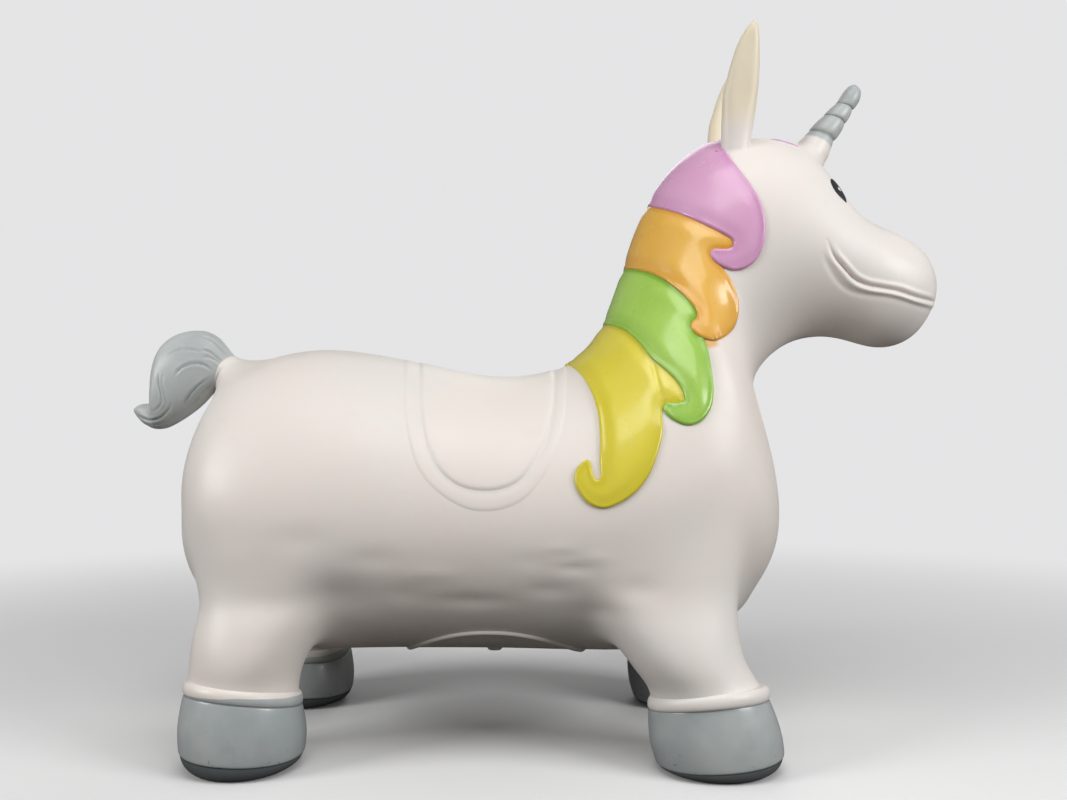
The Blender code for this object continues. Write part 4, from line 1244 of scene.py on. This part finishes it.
# Belly panel round the air valve: a rolled rim, a flat field and a ring at the valve
BELLY_MIDDLE, BELLY_HALVES, BELLY_POWER = -0.0287, (0.0660, 0.0710), 0.87
BELLY_AROUND, BELLY_STEP = 180, 0.0015
RIM_SINK, RIM_RISE, RIM_RUN = 0.0003, 0.0024, 0.0020
WELL_DEPTH, WELL_RUN = 0.0018, (0.0022, 0.0052)
RING_RISE, RING_RADIUS, RING_REACH = 0.0008, 0.0150, 0.0022
SLEEVE_DEPTH, SLEEVE_RUN = 0.004, (0.0102, 0.0088)
VALVE = np.mean([tuple(corner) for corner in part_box("valve_sleeve")], axis=0)


def belly_height(depth, base, flat):
    rim = -RIM_SINK + RIM_RISE * dome(depth, RIM_RUN)
    well = -WELL_DEPTH * smoothstep(*WELL_RUN, depth)
    away = np.hypot(base[:, 0] - VALVE[0], base[:, 1] - VALVE[1])
    ring = RING_RISE * hump(away - RING_RADIUS, RING_REACH)
    return rim + well + ring - SLEEVE_DEPTH * smoothstep(*SLEEVE_RUN, away)


panel = np.array([SKIN.ray((
    BELLY_MIDDLE + BELLY_HALVES[0] * squared(math.cos(angle), BELLY_POWER),
    BELLY_HALVES[1] * squared(math.sin(angle), BELLY_POWER), 0.0), (0.0, 0.0, 1.0))
    for angle in turns(BELLY_AROUND)])
dress("belly_oval", patch_mesh(
    "belly_oval", Outline(panel, bottom=True, step=BELLY_STEP), belly_height), CREAM,
    "belly_panel")

# Ears, horn and tail grow out of the skin in soft flares
CAST_HEIGHT, ROOT_SINK = 0.03, 0.0003
LEAST_LEAN = 0.25
AROUND = 48


def root_rings(section, axis, reaches, steps=9, hug=0.62):
    """Rings from the skin up to a section, in curves that leave the skin flat along it."""
    section = np.array(section)
    centre = section.mean(axis=0)
    curves = []
    for point, reach in zip(section, np.broadcast_to(reaches, len(section))):
        outward = point - centre
        sample = point + unit(outward - axis * (outward @ axis)) * reach
        cast = SKIN.ray(sample + axis * CAST_HEIGHT, -axis)
        place, normal, _ = SKIN.nearest(sample if cast is None else cast)
        drop = (point - place) @ normal / max(axis @ normal, LEAST_LEAN)
        drop = min(max(drop, 0.0), np.linalg.norm(point - place))
        corner = point - axis * drop
        curves.append((
            place - normal * ROOT_SINK, place + (corner - place) * hug,
            point - axis * drop * hug, point))
    a, b, c, d = np.array(curves).transpose(1, 0, 2)
    return [a * (1 - t) ** 3 + 3 * b * t * (1 - t) ** 2 + 3 * c * t * t * (1 - t) + d * t ** 3
            for t in np.linspace(0.0, 1.0, steps + 1)[:-1]]


def spread(rings, values, around):
    """Nothing on the root's rings, then one value for each ring, and the last at the hub."""
    return np.append(np.repeat([0.0] * len(rings) + list(values), around), values[-1])


# Near ear: its left and right edge in the photograph, and half its thickness in mm
EAR_EDGES = [
    (720.8, 749.5, 151, 8.0), (721, 751, 140, 7.6), (721.5, 754, 120, 7.2), (723, 757.5, 95, 6.7),
    (727, 759, 78, 6.2), (731, 759.6, 63, 5.5), (735.5, 759.6, 49, 4.7), (741, 759.3, 37, 3.8),
    (746, 758.6, 29, 2.9), (750, 757.6, 24, 1.9), (753, 756.2, 21.3, 1.0),
]
EAR_STEP, EAR_POWER, EAR_FLARE, EAR_BLEND = 2.6, 0.92, 0.0042, 0.020
EAR_FOOT_ROW, EAR_TIP_ROW = 151, 20
EAR_FOOT_Y, EAR_TIP_Y = 0.0310, 0.0448
EAR_PIVOT = (0.14374, 0.03087, 0.42722)
EAR_HOLLOW, EAR_HOLLOW_WIDTH = 0.20, 0.5
EAR_AXIS_RING = 8


def make_ear(hand, side, lean):
    pivot = np.array(EAR_PIVOT) * (1, side, 1)
    sections, paint = [], []
    edges = [(left, row, right, row, half) for left, right, row, half in EAR_EDGES]
    for left, row, right, _, half in smooth_line(edges, EAR_STEP):
        share = (EAR_FOOT_ROW - row) / (EAR_FOOT_ROW - EAR_TIP_ROW)
        paint.append(smoothstep(0.02, 0.42, share))
        y = EAR_FOOT_Y + (EAR_TIP_Y - EAR_FOOT_Y) * share
        a, b = on_plane(left, row, -y), on_plane(right, row, -y)
        centre, reach = (a + b) / 2, np.linalg.norm(b - a) / 2
        centre[1] = side * y
        centre[0] += lean * max(centre[2] - pivot[2], 0.0)
        fold = EAR_HOLLOW * smoothstep(0.15, 0.45, share) * (1 - smoothstep(0.8, 0.97, share))
        ring = []
        for angle in turns(AROUND):
            press = 1 - fold * hump(abs(angle - math.pi / 2), EAR_HOLLOW_WIDTH)
            ring.append(centre + np.array((
                reach * squared(math.cos(angle), EAR_POWER),
                side * half / 1000 * math.sin(angle) * press, 0.0)))
        sections.append(ring)
    axis = unit(np.mean(sections[EAR_AXIS_RING], axis=0) - np.mean(sections[0], axis=0))
    rings = root_rings(sections[0], axis, EAR_FLARE)
    mesh = loft("ear_shell_" + hand, rings + sections)
    set_attribute(mesh, "ear", spread(rings, paint, AROUND))
    grow("ear_shell_" + hand, mesh, EAR_CREAM, "ear_" + hand)


make_ear("left", 1.0, 0.070)
make_ear("right", -1.0, 0.0)

# Horn: pairs of pixels across it from the root up, and which pairs are pressed rings
HORN_PAIRS = [
    (798, 141.5, 827.6, 157.5), (803, 137, 830, 150.5), (808.5, 131, 833.4, 141.5),
    (811, 127.5, 837.3, 137.5), (817, 121.5, 841.3, 131), (821, 118, 843.2, 127),
    (823, 116, 843.8, 124.5), (825.5, 113, 846.8, 121.5), (830, 108.5, 849.8, 116),
    (833.8, 105.5, 851.2, 112.5), (835.3, 104, 851.6, 110.6), (837.4, 101.5, 854.9, 108),
    (840.8, 96, 858.8, 102), (844.6, 90.5, 860.6, 95.5), (848.4, 86.6, 860.2, 90.6),
    (851.6, 85, 857, 86.9),
]
HORN_RINGS = (2, 6, 10)
HORN_SWELLS = (4, 8, 12.5)
HORN_STEPS, HORN_ROUNDS, HORN_AXIS_RING = 8, 10, 24
HORN_FLARE, HORN_SIDE_FLARE, HORN_BLEND = 0.0065, 0.0045, 0.018
GROOVE_SHARE, SWELL_SHARE = 0.065, 0.012


def paired_sections(pairs, around, half_limit=math.inf):
    """Round sections that each span two pixels of the middle plane."""
    sections = []
    for left, upper, right, lower in pairs:
        a, b = on_plane(left, upper), on_plane(right, lower)
        centre = (a + b) / 2
        reach = np.linalg.norm(b - a) / 2
        direction = (b - a) / (2 * reach)
        half = min(half_limit, reach)
        sections.append([
            centre + direction * reach * math.cos(angle)
            + np.array((0.0, half * math.sin(angle), 0.0)) for angle in turns(around)])
    return np.array(sections)


def make_horn():
    rows = np.array(HORN_PAIRS, float)
    along = np.linspace(0, len(rows) - 1, (len(rows) - 1) * HORN_STEPS + 1)
    dense = resampled(rows, range(len(rows)), along)
    for _ in range(HORN_ROUNDS):
        dense[1:-1] = (dense[:-2] + 2 * dense[1:-1] + dense[2:]) / 4
    sections = paired_sections(dense, AROUND)
    grooves = sum(hump(along - stop, 0.30) for stop in HORN_RINGS)
    swells = sum(hump(along - stop, 1.3) for stop in HORN_SWELLS)
    for index, scale in enumerate(1 - GROOVE_SHARE * grooves + SWELL_SHARE * swells):
        centre = sections[index].mean(axis=0)
        sections[index] = centre + (sections[index] - centre) * scale
    axis = unit(sections[HORN_AXIS_RING].mean(axis=0) - sections[0].mean(axis=0))
    flare = HORN_FLARE + HORN_SIDE_FLARE * np.sin(turns(AROUND)) ** 2
    rings = root_rings(sections[0], axis, flare)
    mesh = loft("horn_shell", rings + list(sections))
    set_attribute(mesh, "grey", spread(rings, smoothstep(0.3, 1.9, along), AROUND))
    # Painted shade in the horn's pressed grooves
    set_attribute(mesh, "groove_shade", spread(rings, grooves, AROUND))
    grow("horn_shell", mesh, ROOT_PAINT, "horn")


make_horn()

# Tail: pairs across it from root to tip, and the strands carved into it
TAIL_PAIRS = [
    (234.5, 356.5, 216.2, 389), (229, 349.5, 214.5, 391.5), (222, 341, 211.5, 395),
    (214.5, 335, 208, 399), (206, 331.5, 203.5, 404), (195, 330.8, 198, 409),
    (182.5, 333, 191.5, 414), (171.5, 338, 185, 418.5), (162.5, 346, 178.5, 422.5),
    (157, 356, 173, 425.5), (154.3, 368, 167, 428), (154, 381, 161.5, 429), (154.8, 392, 157, 429),
    (154.3, 399.5, 152.5, 428), (149.8, 403.2, 147.5, 425.5), (143, 404, 142.8, 422.5),
    (137.5, 406, 138.2, 417.5), (134, 409, 134.8, 413),
]
TAIL_STRANDS = [
    ([(166, 357), (170, 353.5), (176, 350.5), (184, 349.3), (194, 350), (203, 352.5)], 0.75),
    ([(174, 377), (177, 372), (182, 367.6), (188, 364.6), (195, 363.3), (204, 365), (213, 371)],
     1.0),
    ([(200, 350.5), (207.5, 351), (213, 354.5), (225, 364)], 0.9),
    ([(202, 356.5), (210, 357.5), (217, 361), (223, 366)], 0.8),
    ([(200, 335.5), (212, 340), (220, 347.5), (229.5, 359)], 0.7),
    ([(206, 332.5), (214, 336), (222, 343), (231.5, 355.5)], 0.5),
    ([(163, 352), (172, 344), (184, 340), (197, 340), (209, 345), (219, 353)], 0.4),
    ([(159, 372), (158, 383), (160, 394), (161, 403), (156, 410), (150, 411.5)], 0.8),
    ([(164, 372), (161.5, 384), (163.5, 396), (165, 404), (161, 411), (155, 414.5)], 0.6),
    ([(172, 404), (166, 412), (159, 418.2), (150, 420.4), (142.5, 418), (138, 415)], 1.1),
    ([(176, 412), (168, 419.5), (160, 424), (152, 425.5)], 0.5),
    ([(209, 378), (200, 384), (192, 392), (186, 400), (182.5, 408)], 0.9),
    ([(213, 383), (204, 391), (195, 401), (189, 409)], 0.5),
    ([(172, 401), (168, 408), (162, 413.5)], 0.5),
]
TAIL_AROUND = 144
TAIL_STEP, TAIL_HALF, TAIL_AXIS_RING, TAIL_BLEND = 0.55, 0.0160, 4, 0.018
TAIL_FLARES, TAIL_SIDE_FLARE = (0.0150, 0.0050), 0.0420
TAIL_ROOT_RINGS, TAIL_HUG = 20, 0.40
# Rounds that even out the join of root and tail, and how many rings of each they reach
JOIN_ROUNDS, JOIN_BEFORE, JOIN_AFTER = 14, 6, 8
STRAND_STEP, STRAND_DEPTH, STRAND_REACH = 0.4, 0.0010, 0.00075
RIDGE_HEIGHT, RIDGE_AWAY, RIDGE_REACH = 0.00035, 0.0021, 0.0011
# Where the grey paint starts, as shares of the tail: on the root, its slant and its soft edge
PAINT_ROOT, PAINT_SLANT, PAINT_EDGE = (-0.14, -0.004), 0.036, (-0.030, 0.030)


def make_tail():
    sections = paired_sections(smooth_line(TAIL_PAIRS, TAIL_STEP), TAIL_AROUND, TAIL_HALF)
    shares = np.linspace(0, 1, len(sections))
    sections[:, :, 1] *= (0.80 + 0.20 * smoothstep(0.0, 0.25, shares))[:, None]
    sections[:, :, 1] *= (1 - 0.35 * smoothstep(0.55, 1.0, shares))[:, None]
    axis = unit(sections[TAIL_AXIS_RING].mean(axis=0) - sections[0].mean(axis=0))
    angles = turns(TAIL_AROUND)
    flares = np.where(np.cos(angles) < 0, *TAIL_FLARES) * np.cos(angles) ** 2
    rings = root_rings(
        sections[0], axis, flares + TAIL_SIDE_FLARE * np.sin(angles) ** 2,
        TAIL_ROOT_RINGS, TAIL_HUG)
    count = len(rings)
    joined = np.array(rings + list(sections))
    low, high = count - JOIN_BEFORE, count + JOIN_AFTER
    for _ in range(JOIN_ROUNDS):
        joined[low:high] = (
            joined[low - 1:high - 1] + 2 * joined[low:high] + joined[low + 1:high + 1]) / 4
    mesh = loft("tail_shell", joined)
    points = coordinates(mesh)
    tree = BVHTree.FromPolygons(
        [Vector(point) for point in points], [list(face.vertices) for face in mesh.polygons])
    press = np.zeros(len(points))
    ridge = np.zeros(len(points))
    for strand, strength in TAIL_STRANDS:
        hits = [tree.ray_cast(Vector(CAMERA), Vector(ray_of(*pixel)))[0]
                for pixel in smooth_line(strand, STRAND_STEP)]
        line = np.array([hit for hit in hits if hit is not None])
        away, share = line_field(near_side(points), line)
        fade = smoothstep(-0.02, 0.22, share) * (1 - smoothstep(0.75, 1.02, share)) * strength
        press = np.maximum(press, hump(away, STRAND_REACH) * fade)
        ridge = np.maximum(ridge, hump(away - RIDGE_AWAY, RIDGE_REACH) * fade)
    points += vertex_normals(mesh) * (RIDGE_HEIGHT * ridge - STRAND_DEPTH * press)[:, None]
    set_coordinates(mesh, points)
    along = np.concatenate([np.linspace(*PAINT_ROOT, count), shares])
    along = along[:, None] - PAINT_SLANT * (np.sin(angles) ** 2)[None]
    set_attribute(mesh, "grey", np.append(smoothstep(*PAINT_EDGE, along).ravel(), 1.0))
    # Painted shade in the tail's strand grooves
    set_attribute(mesh, "groove_shade", press * 0.8)
    grow("tail_shell", mesh, ROOT_PAINT, "tail")


make_tail()

# Feet: the crease between hoof and cuff slopes with the ankle and rises outwards
OUTWARD_RISE = 0.160
WALL_PROFILE = [
    (0.0, 0.962), (0.03, 0.978), (0.12, 0.990), (0.28, 1.0), (0.46, 0.998), (0.64, 0.982),
    (0.82, 0.957), (0.95, 0.935), (1.0, 0.918), (1.01, 0.880),
]
CUFF_PROFILE = [
    (-0.02, 0.900), (0.0, 0.950), (0.10, 0.985), (0.30, 1.0), (0.55, 0.998), (0.78, 0.980),
    (0.92, 0.955), (1.00, 0.930), (1.03, 0.890), (1.04, 0.800),
]
FOOT_AROUND = 96
FOOT_POWER = 0.96
# Half lengths and widths of hoof and cuff, how far the foot is moved and leans forward, the
# heights of the crease and the sole's edge, and how much of the tilt and roll the sole has
REAR_FOOT = dict(
    hoof=(0.0408, 0.0392), cuff=(0.0380, 0.0374), shift=-0.0008, rake=-0.0004, crease=0.0438,
    sole_edge=0.0108, sole_tilt=0.50, sole_roll=0.010, tilt_scale=1.16)
FRONT_FOOT = dict(
    hoof=(0.0424, 0.0378), cuff=(0.0396, 0.0374), shift=0.0, rake=0.0072, crease=0.0415,
    sole_edge=0.0072, sole_tilt=0.90, sole_roll=0.030, tilt_scale=1.0)
SOLE_RINGS = 16
# The sole's size at its middle, and what it gains towards the edge, along and across
SOLE_START, SOLE_GAIN = (0.60, 0.73), (0.355, 0.225)
WALL_STEP, WALL_STRETCH, CUFF_STRETCH = 0.04, 10, 8
CUFF_HEIGHT = 0.0092


def foot_ring(middle, side, halves, height, tilt, roll):
    ring = []
    for angle in turns(FOOT_AROUND):
        along = halves[0] * squared(math.cos(angle), FOOT_POWER)
        across = halves[1] * squared(math.sin(angle), FOOT_POWER)
        ring.append((
            middle[0] + along, middle[1] + across,
            height + along * math.tan(tilt) + across * side * roll))
    return np.array(ring)


def profile_steps(profile, stretch):
    """Even steps along a profile of heights and widths, with the widths stretched."""
    for up, wide in smooth_line(np.array(profile) * (1, stretch), WALL_STEP):
        yield up, wide / stretch


def make_foot(place, x, side, tilt):
    rear = place.startswith("rear")
    foot = REAR_FOOT if rear else FRONT_FOOT
    x += foot["shift"]
    y = side * FOOT_TRACK
    tilt *= foot["tilt_scale"]
    crease, sole_edge, sole_tilt, sole_roll, rake = (
        foot[key] for key in ("crease", "sole_edge", "sole_tilt", "sole_roll", "rake"))
    halves = np.array(foot["hoof"])
    # Masks of painted shade: the whole sole, and the creases at its edge and under the cuff
    sections, sole_shade, groove_shade = [], [], []
    for t in np.linspace(0.0, 1.0, SOLE_RINGS):
        lift = 1 - math.cos(t * math.pi / 2)
        sections.append(foot_ring(
            (x + rake, y), side,
            halves * (np.array(SOLE_START) + np.array(SOLE_GAIN) * math.sin(t * math.pi / 2)),
            sole_edge * lift, tilt * sole_tilt * lift, sole_roll * lift))
        sole_shade.append(1.0)
        groove_shade.append(1.0 if t == 1.0 else 0.0)
    for up, wide in profile_steps(WALL_PROFILE, WALL_STRETCH):
        sections.append(foot_ring(
            (x + rake * (1 - up), y), side, halves * wide,
            sole_edge + (crease - sole_edge) * up,
            tilt * (sole_tilt + (1 - sole_tilt) * up),
            sole_roll + (OUTWARD_RISE - sole_roll) * up))
        sole_shade.append(0.0)
        groove_shade.append(float(up < 0.012) * 0.5 + float(up > 0.985) * 0.6)
    mesh = loft("hoof_shell_" + place, sections, close_end=False, close_start=True)
    set_attribute(mesh, "sole_shade", np.append(np.repeat(sole_shade, FOOT_AROUND), 1.0))
    set_attribute(mesh, "groove_shade", np.append(np.repeat(groove_shade, FOOT_AROUND), 0.0))
    dress("hoof_shell_" + place, mesh, HOOF_GREY, "hoof_" + place, "foot_" + place)

    halves = np.array(foot["cuff"])
    steps = list(profile_steps(CUFF_PROFILE, CUFF_STRETCH))
    mesh = loft("cuff_shell_" + place, [
        foot_ring((x, y), side, halves * wide, crease + CUFF_HEIGHT * up, tilt, OUTWARD_RISE)
        for up, wide in steps], close_end=False)
    if rear:
        points = coordinates(mesh)
        along = (points[:, 0] - x) / halves[0]
        line = 0.42 + 0.36 * along + 0.03 * np.sin(along * 6.0) + 0.012 * np.sin(
            along * 13.0 + points[:, 1] * 60.0)
        up = np.repeat([up for up, _ in steps], FOOT_AROUND)
        set_attribute(mesh, "grey", smoothstep(0.09, -0.09, up - line))
        # Painted shade along the cuff's lower edge, in the crease over the hoof
        set_attribute(mesh, "groove_shade", smoothstep(0.06, 0.0, up) * 0.5)
    dress("cuff_shell_" + place, mesh, ROOT_PAINT if rear else CREAM, "cuff_" + place,
          "foot_" + place)


for place, (x, side, tilt) in FEET.items():
    make_foot(place, x, side, tilt)

for node in ("valve_sleeve", "air_plug"):
    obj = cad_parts[node]
    obj.data.materials.clear()
    obj.data.materials.append(CREAM)

# Studio
SENSOR = 36.0
BACKDROP = (0.78, 0.78, 0.79, 1.0)
PALE_FLOOR = ((0.94, 0.94, 0.94, 1.0), (0.96, 0.96, 0.96, 1.0))
BOUNCE = (0.07, 0.065, 0.06, 1.0)
FLOOR_FADE = (0.42, 1.35)
FLOOR_RADII = (40.0, 12.0, 5.0, 2.5, 1.2, 0.6, 0.3)
FLOOR_AROUND = 96
WORLD_STRENGTH = 0.14
# Each lamp's place, what it looks at, its size and its power
LAMPS = {
    "top_softbox": ((0.1, -0.75, 1.45), (0.0, 0.0, 0.25), 0.9, 7.4),
    "side_softbox": ((-1.6, -0.9, 0.8), (0.0, 0.0, 0.25), 0.7, 16.0),
    "front_softbox": ((1.45, -0.95, 0.8), (0.0, 0.0, 0.22), 0.8, 17.5),
    "rim_softbox": ((0.3, 1.3, 1.2), (0.0, 0.0, 0.3), 0.9, 3.6),
}


def aimed(name, data, place, direction):
    """A camera or lamp at a place, looking in a direction."""
    obj = bpy.data.objects.new(name, data)
    bpy.context.scene.collection.objects.link(obj)
    obj.location = place
    obj.rotation_mode = "QUATERNION"
    obj.rotation_quaternion = Vector(direction).to_track_quat("-Z", "Y")
    return obj


def make_floor():
    """A pale floor that fades into the backdrop, and throws little light back up."""
    n = Nodes("studio_floor")
    pale = n.mix(n.ramp(n.noise(1.5, 3.0), 0.3, 0.7), *PALE_FLOOR)
    seen = n.add("ShaderNodeLightPath").outputs["Is Camera Ray"]
    n.finish(n.mix(seen, BOUNCE, pale), 0.85)
    n.bump((n.noise(240.0, 3.0), 0.03, 0.0005))
    length = n.add("ShaderNodeVectorMath", {0: n.place}, operation="LENGTH")
    far = n.ramp(length.outputs["Value"], *FLOOR_FADE)
    glow = n.add("ShaderNodeEmission", {"Color": BACKDROP})
    blend = n.add("ShaderNodeMixShader", {
        0: n.maths("MULTIPLY", far, seen), 1: n.shader.outputs[0], 2: glow.outputs[0]})
    n.feed(n.tree.nodes["Material Output"].inputs["Surface"], blend.outputs[0])
    mesh = loft("studio_floor", [
        [(radius * math.cos(angle), radius * math.sin(angle), 0.0)
         for angle in turns(FLOOR_AROUND)] for radius in FLOOR_RADII])
    mesh.flip_normals()
    add_object("studio_floor", mesh, n.material)


def make_world():
    """Dim even light, behind which the camera sees the backdrop."""
    world = bpy.data.worlds.new("studio_world")
    bpy.context.scene.world = world
    world.use_nodes = True
    nodes, links = world.node_tree.nodes, world.node_tree.links
    background = nodes["Background"]
    background.inputs["Color"].default_value = (1.0, 1.0, 1.0, 1.0)
    background.inputs["Strength"].default_value = WORLD_STRENGTH
    shown = nodes.new("ShaderNodeBackground")
    shown.inputs["Color"].default_value = BACKDROP
    path = nodes.new("ShaderNodeLightPath")
    either = nodes.new("ShaderNodeMath")
    either.operation = "MAXIMUM"
    blend = nodes.new("ShaderNodeMixShader")
    for source, target in (
        (path.outputs["Is Camera Ray"], either.inputs[0]),
        (path.outputs["Is Transmission Ray"], either.inputs[1]),
        (either.outputs[0], blend.inputs[0]),
        (background.outputs[0], blend.inputs[1]),
        (shown.outputs[0], blend.inputs[2]),
        (blend.outputs[0], nodes["World Output"].inputs["Surface"]),
    ):
        links.new(source, target)


camera_data = bpy.data.cameras.new("camera")
camera_data.sensor_width = SENSOR
camera_data.lens = FOCAL / PICTURE[0] * SENSOR
camera_data.clip_start = 0.01
bpy.context.scene.camera = aimed("camera", camera_data, CAMERA, forward())
make_floor()
make_world()
for name, (place, target, size, power) in LAMPS.items():
    lamp = bpy.data.lights.new(name, "AREA")
    lamp.shape = "RECTANGLE"
    lamp.size = lamp.size_y = size
    lamp.energy = power
    aimed(name, lamp, place, Vector(target) - Vector(place))
bpy.context.scene.view_settings.view_transform = "Standard"
